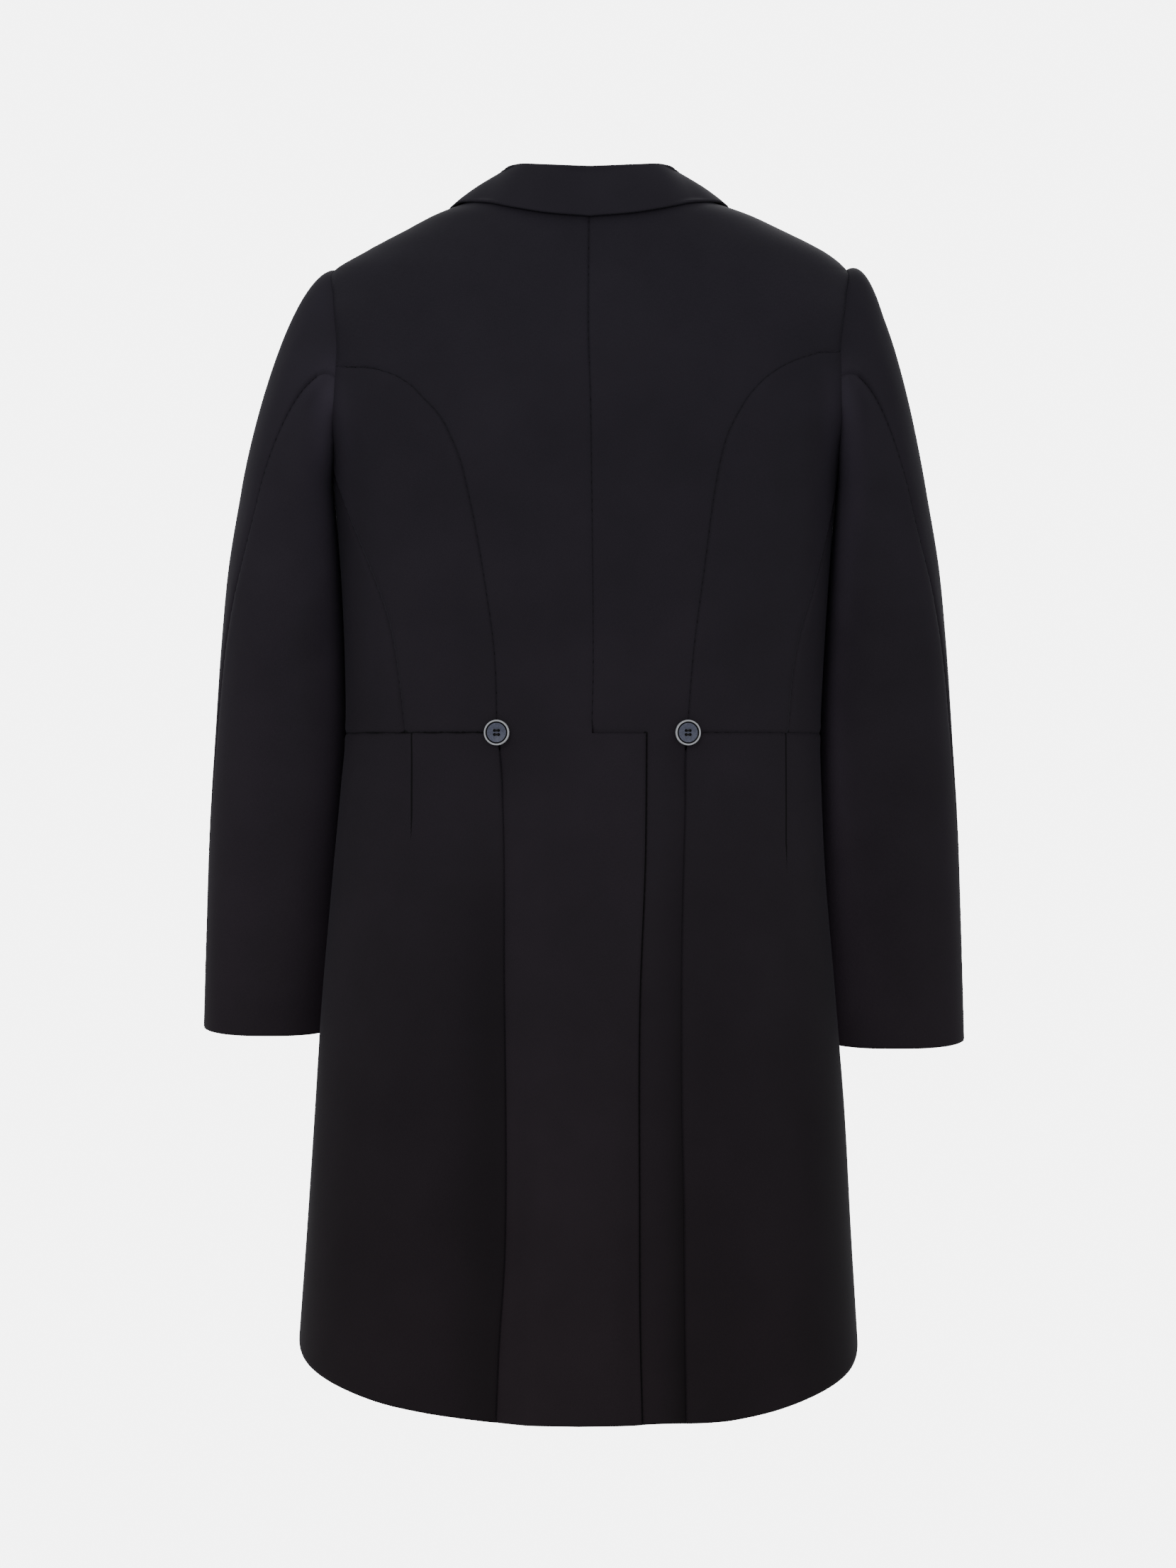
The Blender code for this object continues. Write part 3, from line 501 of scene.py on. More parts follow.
def form(angle, height):
    """The coat's outer face: angle 0 is the centre back, a quarter turn the wearer's right flank."""
    half, depth, middle, widest, square = section(height, np.cos(angle) < 0)
    side = (np.abs(np.sin(angle)) / half) ** square
    ahead = (np.abs(np.cos(angle)) / depth) ** square
    reach = (side + ahead) ** (-1 / square)
    return points(middle + reach * np.sin(angle), widest - reach * np.cos(angle), height)


def unit(vectors):
    return vectors / np.maximum(np.linalg.norm(vectors, axis=-1, keepdims=True), 1e-12)


def on_form(angle, height, out=0.0):
    """Points that lie out from the coat's outer face, square to it."""
    small = 0.004
    around = form(angle + small, height) - form(angle - small, height)
    up = form(angle, height + small / 4) - form(angle, height - small / 4)
    away = unit(np.cross(around, up))
    return form(angle, height) + away * np.asarray(out, float)[..., None]


def angle_of(side, across, height, front=False):
    """Turn from the centre back to a place so far across on one side; past the front centre it goes on."""
    half, depth, middle, _, square = section(height, front)
    x = side * across - middle
    part = np.minimum(np.abs(x) / half, 1.0)
    y = depth * (1 - part**square) ** (1 / square)
    turn = np.arctan2(side * x, -y if front else y)
    return np.where(front & (turn < 0), turn + math.tau, turn)


def arm_angle(side, height, front):
    """Turn to the armhole's edge at a height."""
    part = np.minimum(np.abs(height - ARM_MIDDLE) / ARM_HALF_HEIGHT, 1.0)
    y = ARM_HALF_DEPTH * np.sqrt(1 - part * part)
    half, depth, _, _, square = section(height, front)
    x = half * (1 - (y / depth) ** square) ** (1 / square)
    turn = np.arctan2(x, y)
    return math.pi - turn if front else turn


def nudge(angle, height, distance):
    """The turn that moves a point this far round the form."""
    there = form(angle, height)
    widest = read(SECTIONS, "widest_y", height)
    middle = read(SECTIONS, "middle_x", height)
    return distance / np.hypot(there[..., 0] - middle, there[..., 1] - widest)


def roll_line(height):
    """How far from the centre the lapel's fold lies, on its own side."""
    return blend(-WRAP, ROLL_AT_NECK, np.minimum((height - BREAK) / (NECK - BREAK), 1.0))


def hem_height(side, turn):
    degrees = np.abs(np.degrees(turn))
    drop = HEM_DROP * ramp(degrees, *DROP_STARTS) * (1 - ramp(degrees, *DROP_ENDS)) if side > 0 else 0.0
    return read(HEM_LINE, "height", degrees) - drop


def tail_sink(side, turn, height):
    """The tail rolls in towards its pleat."""
    gone = side * form(side * turn, height)[..., 0] - read(PLEAT[side], "across", np.minimum(height, WAIST))
    return read(PLEAT_SINK[side], "tail", height) * ramp(gone, -PLEAT_REACH[side].tail, -0.001)


def vent_lift(side, turn, height):
    if side > 0:
        return 0.0
    x = form(side * turn, height)[..., 0]
    return VENT_LIFT * ramp(x, -VENT_EASE, 0.001) * ramp(-height, -WAIST - 0.010, -VENT_TOP)


def skirt_sink(side, turn, height):
    """The skirt rolls in towards its pleat too."""
    gone = np.abs(form(side * turn, height)[..., 0]) - read(PLEAT[side], "across", height)
    sink = read(PLEAT_SINK[side], "skirt", height) * ramp(-gone, -PLEAT_REACH[side].skirt, -0.002)
    return np.where(np.cos(turn) > 0, sink, 0.0)


def front_sink(side, turn, height):
    """The right front lies under the left one."""
    if side < 0:
        return 0.0
    sink = UNDER_FRONT * ramp(-form(turn, height)[..., 0], -FRONT_LEVEL, -FRONT_SUNK)
    return np.where(np.cos(turn) > 0, 0.0, sink)


def sleeve_ring(side, around, height):
    """The sleeve's inner face below its head. around is 0 next to the body, a quarter turn at the back."""
    inner = side * (read(SLEEVE, "inner", height) + CLOTH) + read(SECTIONS, "middle_x", height)
    outer = side * (read(SLEEVE, "outer", height) - CLOTH) + SLEEVE_LEAN
    half_depth = read(SLEEVE, "half_depth", height) - CLOTH
    x = (inner + outer) / 2 - (outer - inner) / 2 * rounded(np.cos(around))
    return points(x, read(SLEEVE, "middle_y", height) - half_depth * rounded(np.sin(around)), height)


def rounded(wave):
    """Turns a circle's sine or cosine into that of a slightly square oval."""
    return np.sign(wave) * np.abs(wave) ** (2 / SLEEVE_SQUARE)


def sleeve_point(side, around, step):
    """The sleeve's inner face. It leaves the armhole level and bends down into the arm."""
    back_way = np.sin(around)
    down_way = np.cos(around)
    t = np.clip(step / SLEEVE_HEAD_STEP, 0.0, 1.0)
    y = -ARM_HALF_DEPTH * back_way
    height = ARM_MIDDLE - ARM_HALF_HEIGHT * down_way
    half, depth, middle, _, square = section(height, y > 0)
    x = side * half * (1 - (np.abs(y) / depth) ** square) ** (1 / square) + middle
    under = ramp(down_way, 0.2, 1.0)
    start = points(x + side * (SLEEVE_STAND + UNDERARM_EASE * under), y, height)
    end = sleeve_ring(side, around, np.float64(SLEEVE_HEAD_END))
    reach = np.linalg.norm(end - start, axis=-1)
    outward = blend(HEAD_OUT + HEAD_OUT_LOW * down_way, UNDERARM_IN, under)
    leave = points(side * reach * outward, 0.0, -UNDERARM_DROP * reach * under)
    arrive = unit(sleeve_ring(side, around, np.float64(SLEEVE_HEAD_END - 0.01)) - end) * reach[..., None]
    t = t[..., None]
    head = start * (1 + 2 * t) * (1 - t) ** 2 + leave * t * (1 - t) ** 2
    head = head + end * t * t * (3 - 2 * t) + arrive * t * t * (t - 1)
    wave = np.sin(math.pi * np.minimum(t[..., 0] / RISE_REACH, 1.0))
    head = head + points(0.0, 0.0, SLEEVE_RISE[side] * ramp(-down_way, 0.3, 1.0) * wave)
    down = np.clip((step - SLEEVE_HEAD_STEP) / (1 - SLEEVE_HEAD_STEP), 0.0, 1.0)
    lowest = CUFF[side] - CUFF_DIP * back_way
    arm = sleeve_ring(side, around, blend(SLEEVE_HEAD_END, lowest, down))
    return np.where((step <= SLEEVE_HEAD_STEP)[..., None], head, arm)


def along(start, end, spacing):
    """Places from start to end no further apart than spacing."""
    return np.linspace(start, end, max(int(abs(end - start) / spacing) + 2, 4))


def even_heights(table, start, end, spacing):
    """Heights between two places on a seam, evenly apart along the seam itself."""
    fine = np.linspace(start, end, 1500)
    across = read(table, "across", fine)
    length = np.concatenate(([0.0], np.cumsum(np.hypot(np.diff(fine), np.diff(across)))))
    count = max(int(length[-1] / spacing), 2)
    return np.interp(np.linspace(0.0, length[-1], count + 1), length, fine)


def seam_lines():
    """Every seam of the body as points on the cloth's inner face, how bold its line of painted shade is and
    how much it dips.
    """
    down = along(NECK, WAIST, 0.002)
    lines = [(angle_of(1, read(CENTRE_SEAM, "across", down), down), down, 1.0, 1.0)]
    # The vent's edge gets a wide line of painted shadow, where the left tail laps over the right
    down = along(VENT_TOP, HEM, 0.002)
    lines.append((angle_of(1, read(VENT_EDGE, "across", down), down), down, VENT_BOLD, 0.0))
    for side in (-1, 1):
        down = along(WAIST - 0.010, HEM, 0.002)
        turn = side * angle_of(side, read(PLEAT[side], "across", down), down)
        lines.append((turn, down, PLEAT_BOLD[side], 0.0))
        down = even_heights(BACK_SEAM[side], BACK_SEAM[side][0].height, WAIST, 0.002)
        lines.append((side * angle_of(side, read(BACK_SEAM[side], "across", down), down), down, 1.0, 1.0))
        down = along(ARM_BOTTOM, WAIST, 0.002)
        lines.append((side * np.radians(read(SIDE_SEAM[side], "angle", down)), down, 1.0, 1.0))
        start = angle_of(side, read(PLEAT[side], "across", WAIST), np.float64(WAIST))
        turn = along(float(start), math.pi, 0.01)
        lines.append((side * turn, np.full_like(turn, WAIST), WAIST_SEAM_BOLD[side], 1.0))
        down = along(NECK, ARM_TOP, 0.002)
        lines.append((np.full_like(down, side * math.pi / 2), down, 1.0, 1.0))
    lines = [(on_form(turn, height, -CLOTH), bold, dip) for turn, height, bold, dip in lines]
    return lines + [armhole_line(side) for side in (-1, 1)]


def armhole_line(side):
    around = along(0.0, math.tau, 0.03)
    return sleeve_point(side, around, np.zeros_like(around)), ARMHOLE_BOLD, ARMHOLE_DIP


def dart_distance(side, spots):
    """Distance across the dart, ironed flat below the side seam, with a sign, and far off below its end."""
    down = along(DART[side][-1].height, WAIST, 0.002)
    line = on_form(side * angle_of(side, read(DART[side], "across", down), down), down, -CLOTH)
    across = side * (spots[:, 0] - np.interp(spots[:, 2], line[:, 2], line[:, 0]))
    end = DART[side][-1].height
    fade = ramp(spots[:, 2], end, end + 0.030) * (spots[:, 1] < 0)
    return across / np.maximum(fade, 0.001)


def sleeve_lines():
    lines = []
    for side in (-1, 1):
        for column, start in (("hind", HIND_FADE), ("fore", 0.0)):
            step = np.linspace(start, 1.0, 300)
            lines.append((sleeve_point(side, np.radians(read(SLEEVE_SEAMS, column, step)), step), 1.0, 1.0))
        lines.append(armhole_line(side))
    return lines


def nearest(spots, lines):
    """Distance from each spot to the lines, how far along them that is, and how bold and deep it is there."""
    places = np.concatenate([line[0] for line in lines])
    bold = np.concatenate([np.full(len(line[0]), line[1]) for line in lines])
    dip = np.concatenate([np.full(len(line[0]), line[2]) for line in lines])
    tree = KDTree(len(places))
    for i, place in enumerate(places):
        tree.insert(place, i)
    tree.balance()
    found = [tree.find(spot) for spot in spots]
    close = np.array([hit[1] for hit in found], dtype=int)
    steps = np.linalg.norm(np.diff(places, axis=0, prepend=places[:1]), axis=1)
    return np.array([hit[2] for hit in found]), np.cumsum(steps)[close], bold[close], dip[close]


def hill(value, middle, width):
    """1 at the middle, falling away softly to both sides."""
    return np.exp(-(((value - middle) / width) ** 2))


def seam_relief(distance, length, settings):
    """Cloth dips at a seam, rises softly beside it and puckers a little along it."""
    dip = -settings.seam_depth * hill(distance, 0.0, DIP_WIDTH)
    roll = ROLL_SHARE * settings.seam_depth * hill(distance, ROLL_PLACE, ROLL_WIDTH)
    wave = np.sin(length / PUCKER_RADIAN + 2.1 * np.sin(length / DRIFT_RADIAN))
    wave = wave * np.sin(length / SWELL_RADIAN + 0.7)
    return dip + roll + settings.pucker * wave * hill(distance, PUCKER_PLACE, PUCKER_WIDTH)


def crease_relief(spots, lines):
    """Soft troughs and ridges: lines of points with a width and a depth, which fade out at their ends."""
    total = np.zeros(len(spots))
    for line, width, depth in lines:
        apart = ((spots[:, None, :] - line[None, :, :]) ** 2).sum(axis=2)
        close = apart.argmin(axis=1)
        fade = np.sin(math.pi * np.linspace(0.02, 0.98, len(line))) ** 0.8
        total += depth * fade[close] * np.exp(-apart[np.arange(len(spots)), close] / width**2)
    return total


def tones(name, spots):
    """Soft upright bands of painted shade and painted light, on the side seen from behind."""
    total = np.ones(len(spots))
    across = spots[:, 0]
    if "sleeve" in name:
        across = np.abs(across) - read(SLEEVE, "inner", spots[:, 2])
    for tone in TONES.get(name, ()):
        fade = ramp(-spots[:, 2], -tone.top, -tone.top + tone.ease) * (spots[:, 1] < tone.front)
        total += tone.strength * hill(across, tone.across, tone.width) * fade
    return total


def body_creases():
    """The soft folds placed on the back, flanks and skirts."""
    lines = []
    for fold in BODY_FOLDS:
        t = np.linspace(0.0, 1.0, 28)
        turn = np.radians(blend(fold.start_turn, fold.end_turn, t) + fold.bow * np.sin(math.pi * t))
        height = blend(fold.start_height, fold.end_height, t)
        lines.append((form(turn, height), fold.width, fold.depth))
    return lines


def sleeve_creases():
    lines = []
    for fold in SLEEVE_FOLDS:
        t = np.linspace(0.0, 1.0, 22)
        around = np.radians(blend(fold.start_around, fold.end_around, t))
        step = blend(fold.start_step, fold.end_step, t)
        lines.append((sleeve_point(fold.side, around, step), fold.width, fold.depth))
    return lines


def as_data(mesh, name):
    """What was built in an edited mesh, as mesh data of that name."""
    data = bpy.data.meshes.new(name)
    mesh.to_mesh(data)
    mesh.free()
    return data


def in_scene(name, data):
    """A new object with this data, linked to the scene."""
    made = bpy.data.objects.new(name, data)
    bpy.context.scene.collection.objects.link(made)
    return made


def cloth(name, columns, rows, place, side, settings, lines, folds, keep=None, wall=None, dart=None):
    """A cut piece of cloth: a fine grid laid on the coat's form, given its seams and folds, then its wall."""
    mesh = bmesh.new()
    mesh.loops.layers.uv.new("UVMap")
    bmesh.ops.create_grid(mesh, x_segments=columns, y_segments=rows, size=0.5, calc_uvs=True)
    flat = np.array([point.co[:] for point in mesh.verts])
    column = np.rint((flat[:, 0] + 0.5) * columns).astype(int)
    row = np.rint((flat[:, 1] + 0.5) * rows).astype(int)
    spots = place(column, row)
    for point, spot in zip(mesh.verts, spots):
        point.co = spot
    if keep:
        corner = {point: (c, r) for point, c, r in zip(mesh.verts, column, row)}
        unwanted = []
        for face in mesh.faces:
            places = [corner[point] for point in face.verts]
            if not keep(min(place[0] for place in places), min(place[1] for place in places)):
                unwanted.append(face)
        bmesh.ops.delete(mesh, geom=unwanted, context="FACES")
    if side < 0:
        bmesh.ops.reverse_faces(mesh, faces=mesh.faces)
    measure(mesh)
    mesh.normal_update()
    spots = np.array([point.co[:] for point in mesh.verts])
    away = np.array([point.normal[:] for point in mesh.verts])
    distance, length, bold, dip = nearest(spots, lines)
    across = dart(spots) if dart else np.full(len(spots), 1.0)
    rise = seam_relief(np.minimum(distance, np.abs(across)), length, settings) * dip
    rise += crease_relief(spots, folds) * settings.fold_strength
    for point, spot in zip(mesh.verts, spots + away * rise[:, None]):
        point.co = spot
    data = as_data(mesh, name)
    data.shade_smooth()
    # The seam and dart attributes place painted shade along seams and darts; tone holds painted light and
    # shade in soft bands
    for label, values in (("seam", distance / bold), ("dart", across), ("tone", tones(name, spots))):
        data.attributes.new(label, "FLOAT", "POINT").data.foreach_set("value", values)
    piece = in_scene(name, data)
    thick = piece.modifiers.new("wall", "SOLIDIFY")
    thick.thickness = wall or settings.wall
    thick.offset = 1.0
    thick.use_even_offset = False
    return piece


def measure(mesh):
    """The piece's own map holds real lengths, so that the weave is the same size everywhere."""
    layer = mesh.loops.layers.uv.verify()
    seen = [(loop, loop[layer].uv) for face in mesh.faces for loop in face.loops]
    sides = np.array([
        (edge.calc_length(), *(edge.link_loops[0][layer].uv - edge.link_loops[0].link_loop_next[layer].uv))
        for edge in mesh.edges
    ])
    across = sides[np.abs(sides[:, 1]) > 1e-6]
    down = sides[np.abs(sides[:, 2]) > 1e-6]
    width = (across[:, 0] / np.abs(across[:, 1])).mean()
    length = (down[:, 0] / np.abs(down[:, 2])).mean()
    for loop, uv in seen:
        loop[layer].uv = (uv.x * width, uv.y * length)


def dress(piece, name, look):
    """Gives a piece its material and its body, and hides the solid that it stands for."""
    piece.data.materials.append(look)
    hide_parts(name)
    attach(piece, "root")


def back(side, settings, lines, folds):
    """A whole back with its tail. The left one laps over the right below the waist."""
    fine = settings.spacing
    seam_top = BACK_SEAM[side][0].height
    heights = np.unique(np.round(np.concatenate((
        along(NECK, ARM_TOP, fine),
        along(ARM_TOP, seam_top, fine),
        even_heights(BACK_SEAM[side], seam_top, WAIST, fine),
        (VENT_TOP,),
        along(VENT_TOP, PLEAT_TOP, fine),
        along(PLEAT_TOP, HEM, fine),
    )), 7))
    first = 5
    across_steps = 58
    laps = 14 if side < 0 else 0
    columns = first + across_steps + laps
    top_of_pleat = int(np.abs(heights - PLEAT_TOP).argmin())
    top_of_vent = int(np.abs(heights - VENT_TOP).argmin())

    def place(column, row):
        height = heights[row]
        seam = read(BACK_SEAM[side], "across", height)
        pleat = read(PLEAT[side], "across", height)
        edge = angle_of(side, np.where(height >= WAIST, seam, pleat), height)
        edge = np.where(height > seam_top, arm_angle(side, height, False), edge)
        shoulder = math.pi / 2 - nudge(np.float64(math.pi / 2), height, SEAM / 2)
        edge = np.where(height > ARM_TOP, shoulder, edge)
        centre = side * angle_of(1, read(CENTRE_SEAM, "across", height), height)
        away = np.where(height < WAIST, TAIL_EDGE, SEAM / 2)
        edge = edge - nudge(edge, height, away)
        centre = centre + nudge(centre, height, SEAM / 2)
        inside = angle_of(side, pleat + UNDERLAY * (first - column) / first, height)
        vent = -angle_of(1, read(VENT_EDGE, "across", height), height)
        lap = blend(centre, vent, (column - first - across_steps) / max(laps, 1))
        turn = blend(edge, centre, (column - first) / across_steps)
        turn = np.where(column < first, inside, np.where(column > first + across_steps, lap, turn))
        drop = (height - PLEAT_TOP) / (HEM - PLEAT_TOP)
        lower = PLEAT_TOP + drop * (hem_height(side, turn) - PLEAT_TOP)
        height = np.where(height < PLEAT_TOP, lower, height)
        out = vent_lift(side, turn, height) - CLOTH - tail_sink(side, turn, height)
        return on_form(side * turn, height, out)

    def keep(column, row):
        if column < first:
            return row < top_of_pleat
        if column >= first + across_steps:
            return row < top_of_vent
        return True

    rows = len(heights) - 1
    return cloth(f"back_{NAMES[side]}_cloth", columns, rows, place, -side, settings, lines, folds, keep)


def side_body(side, settings, lines, folds):
    top = BACK_SEAM[side][0].height + 3 * SEAM
    heights = even_heights(BACK_SEAM[side], top, WAIST, settings.spacing)[::-1]
    columns = 30

    def place(column, row):
        height = heights[row]
        start = angle_of(side, read(BACK_SEAM[side], "across", height + 3 * SEAM), height)
        start = start + nudge(start, height, SEAM / 2)
        flank = np.radians(read(SIDE_SEAM[side], "angle", height))
        flank = flank - nudge(flank, height, SEAM / 2)
        end = np.where(height > ARM_BOTTOM, arm_angle(side, height, False), flank)
        return on_form(side * blend(np.minimum(start, end), end, column / columns), height, -CLOTH)

    rows = len(heights) - 1
    return cloth(f"side_body_{NAMES[side]}_cloth", columns, rows, place, side, settings, lines, folds)


def forepart(side, settings, lines, folds):
    fine = settings.spacing
    heights = np.unique(np.round(np.concatenate((
        along(NECK, ARM_TOP, fine),
        along(ARM_TOP, ARM_BOTTOM, fine),
        along(ARM_BOTTOM, WAIST, fine),
    )), 7))
    columns = 72

    def place(column, row):
        height = heights[row]
        shoulder = math.pi / 2 + nudge(np.float64(math.pi / 2), height, SEAM / 2)
        flank = np.radians(read(SIDE_SEAM[side], "angle", height))
        flank = flank + nudge(flank, height, SEAM / 2)
        start = np.where(height > ARM_BOTTOM, arm_angle(side, height, True), flank)
        start = np.where(height > ARM_TOP, shoulder, start)
        end = angle_of(side, np.maximum(roll_line(height), -WRAP), height, front=True)
        turn = blend(start, end, column / columns)
        return on_form(side * turn, height, -CLOTH - front_sink(side, turn, height))

    rows = len(heights) - 1
    return cloth(f"forepart_{NAMES[side]}_cloth", columns, rows, place, side, settings, lines, folds)


def skirt(side, settings, lines, folds):
    """Skirt with its back edge folded under to make the pleat, and its front edge cut away."""
    layers = np.array(PLEAT_LAYERS)
    first = len(layers)
    inner_layers = first - 2
    round_steps = 96
    rows = 150
    top = WAIST - SEAM
    opened = int(rows * (1 - (PLEAT_TOP - top) / (HEM - top)))

    def place(column, row):
        down = 1 - row / rows
        height = blend(top, HEM, down)
        under = column < first
        shift, sink = layers[np.minimum(column, first - 1)].T
        # The hem's height depends on the turn and the turn on the height: a few rounds settle both
        for _ in range(4):
            inside = angle_of(side, read(PLEAT[side], "across", height) + shift, height)
            start = angle_of(side, read(PLEAT[side], "across", height) + PLEAT_EDGE, height)
            end = angle_of(side, -WRAP, np.float64(WAIST), front=True)
            turn = np.where(under, inside, blend(start, end, (column - first) / round_steps))
            height = blend(top, hem_height(side, turn), down)
        out = np.where(under, sink, 0.0) - skirt_sink(side, turn, height) - front_sink(side, turn, height)
        return on_form(side * turn, height, out - CLOTH)

    def keep(column, row):
        return column >= inner_layers or row < opened

    def dart(spots):
        return dart_distance(side, spots)

    name = f"skirt_{NAMES[side]}_cloth"
    return cloth(name, first + round_steps, rows, place, side, settings, lines, folds, keep, dart=dart)


def sleeve(side, settings, lines, folds):
    """Top sleeve and under sleeve, with the hindarm seam open at the cuff."""
    rows = 200
    columns = 48
    pieces = []

    def seam(column, step):
        return np.radians(read(SLEEVE_SEAMS, column, step))

    def half_gap(step):
        return (SEAM + VENT_GAP * ramp(step, VENT_STEP, VENT_STEP + 0.03)) / 2 / SLEEVE_RADIUS

    def place_top(column, row):
        step = 1 - row / rows
        start = seam("hind", step) + half_gap(step)
        end = seam("fore", step) - SEAM / 2 / SLEEVE_RADIUS
        return sleeve_point(side, blend(start, end, column / columns), step)

    def place_under(column, row):
        step = 1 - row / rows
        start = seam("fore", step) - math.tau + SEAM / 2 / SLEEVE_RADIUS
        end = seam("hind", step) - half_gap(step)
        return sleeve_point(side, blend(start, end, column / columns), step)

    for part, place in (("top", place_top), ("under", place_under)):
        name = f"{part}_sleeve_{NAMES[side]}_cloth"
        pieces.append(cloth(name, columns, rows, place, side, settings, lines, folds))
    return pieces


def off_body(spots, gap):
    """Spots moved off the coat where they are nearer than gap."""
    x, y, height = spots.T
    front = y > 0
    half, depth, middle, widest, square = section(height, front)
    part = np.minimum(np.abs(x - middle) / half, 1.0)
    reach = depth * (1 - part**square) ** (1 / square) + gap
    moved = np.where(front, np.maximum(y, widest + reach), np.minimum(y, widest - reach))
    return points(x, np.where(part < 1, moved, y), height)


def collar(settings, lines, folds):
    """Stand and fall in one: each rib goes up from the neck seam, over the fold and down to the edge."""
    half_columns = 70
    rows = 42
    stand_rows = 12

    def place(column, row):
        turn = column / half_columns - 1
        side = np.where(turn < 0, -1.0, 1.0)
        at = np.abs(turn)
        foot, fold, edge = (
            points(*(read(COLLAR, f"{part}_{axis}", at) * (side if axis == "x" else 1) for axis in "xyz"))
            for part in ("foot", "fold", "edge")
        )
        crown = fold + unit(edge - fold) * CROWN_OUT + np.array((0.0, 0.0, CROWN_UP))
        inner = (row - (rows - stand_rows))[:, None] / stand_rows
        down = (row / (rows - stand_rows - 1))[:, None]
        fall = blend(edge, crown, down)
        fall = off_body(fall + np.array((0.0, 0.0, FALL_BULGE)) * down * (1 - down), COLLAR_LIFT)
        return np.where(inner < 0, fall, blend(fold, foot, inner))

    columns = 2 * half_columns
    return cloth("collar_cloth", columns, rows, place, 1, settings, lines, folds, wall=COLLAR_CLOTH)


def lapel(side, settings, lines, folds):
    columns = 36
    rows = 110

    def place(column, row):
        across = column / columns
        up = row / rows
        height = blend(BREAK, read(LAPEL_TOP, "height", across), up)
        apart = blend(roll_line(height), read(LAPEL_EDGE, "outer", up), across)
        turn = angle_of(side, apart, height, front=True)
        belly = LAPEL_BELLY * np.sin(math.pi * across) * ramp(up, 0.25, 0.6) * (1 - across)
        belly = belly + LAPEL_TIP * ramp(across, 0.4, 1.0) * ramp(up, 0.6, 0.9)
        return on_form(side * turn, height, LAPEL_LIFT + belly - front_sink(side, turn, height))

    return cloth(f"lapel_{NAMES[side]}_cloth", columns, rows, place, -side, settings, lines, folds)


class Value:
    """A socket in a material that takes part in sums."""

    def __init__(self, tree, socket):
        self.tree = tree
        self.socket = socket

    def math(self, operation, *others):
        return node(self.tree, "ShaderNodeMath", (self, *others), operation=operation)

    def __add__(self, other):
        return self.math("ADD", other)

    def __sub__(self, other):
        return self.math("SUBTRACT", other)

    def __mul__(self, other):
        return self.math("MULTIPLY", other)

    def between(self, start, end):
        """1 inside the two limits and 0 outside."""
        return self.math("GREATER_THAN", start) * self.math("LESS_THAN", end)


def node(tree, kind, inputs=(), output=0, **options):
    """Adds a node, fills its inputs by place or by name and hands back one output."""
    made = tree.nodes.new(kind)
    for option, setting in options.items():
        setattr(made, option, setting)
    pairs = inputs.items() if isinstance(inputs, dict) else enumerate(inputs)
    for key, setting in pairs:
        if isinstance(setting, Value):
            tree.links.new(setting.socket, made.inputs[key])
        else:
            made.inputs[key].default_value = setting
    return Value(tree, made.outputs[output])


def mix(tree, share, first, second):
    """One colour, or the other as share rises from 0 to 1."""
    made = tree.nodes.new("ShaderNodeMix")
    made.data_type = "RGBA"
    for socket, setting in ((made.inputs[0], share), (made.inputs[6], first), (made.inputs[7], second)):
        if isinstance(setting, Value):
            tree.links.new(setting.socket, socket)
        else:
            socket.default_value = setting
    return Value(tree, made.outputs[2])


def surface(name, roughness, specular):
    """A new material, its tree and its shader."""
    made = bpy.data.materials.new(name)
    made.use_nodes = True
    shader = made.node_tree.nodes["Principled BSDF"]
    shader.inputs["Roughness"].default_value = roughness
    shader.inputs["Specular IOR Level"].default_value = specular
    return made, made.node_tree, shader


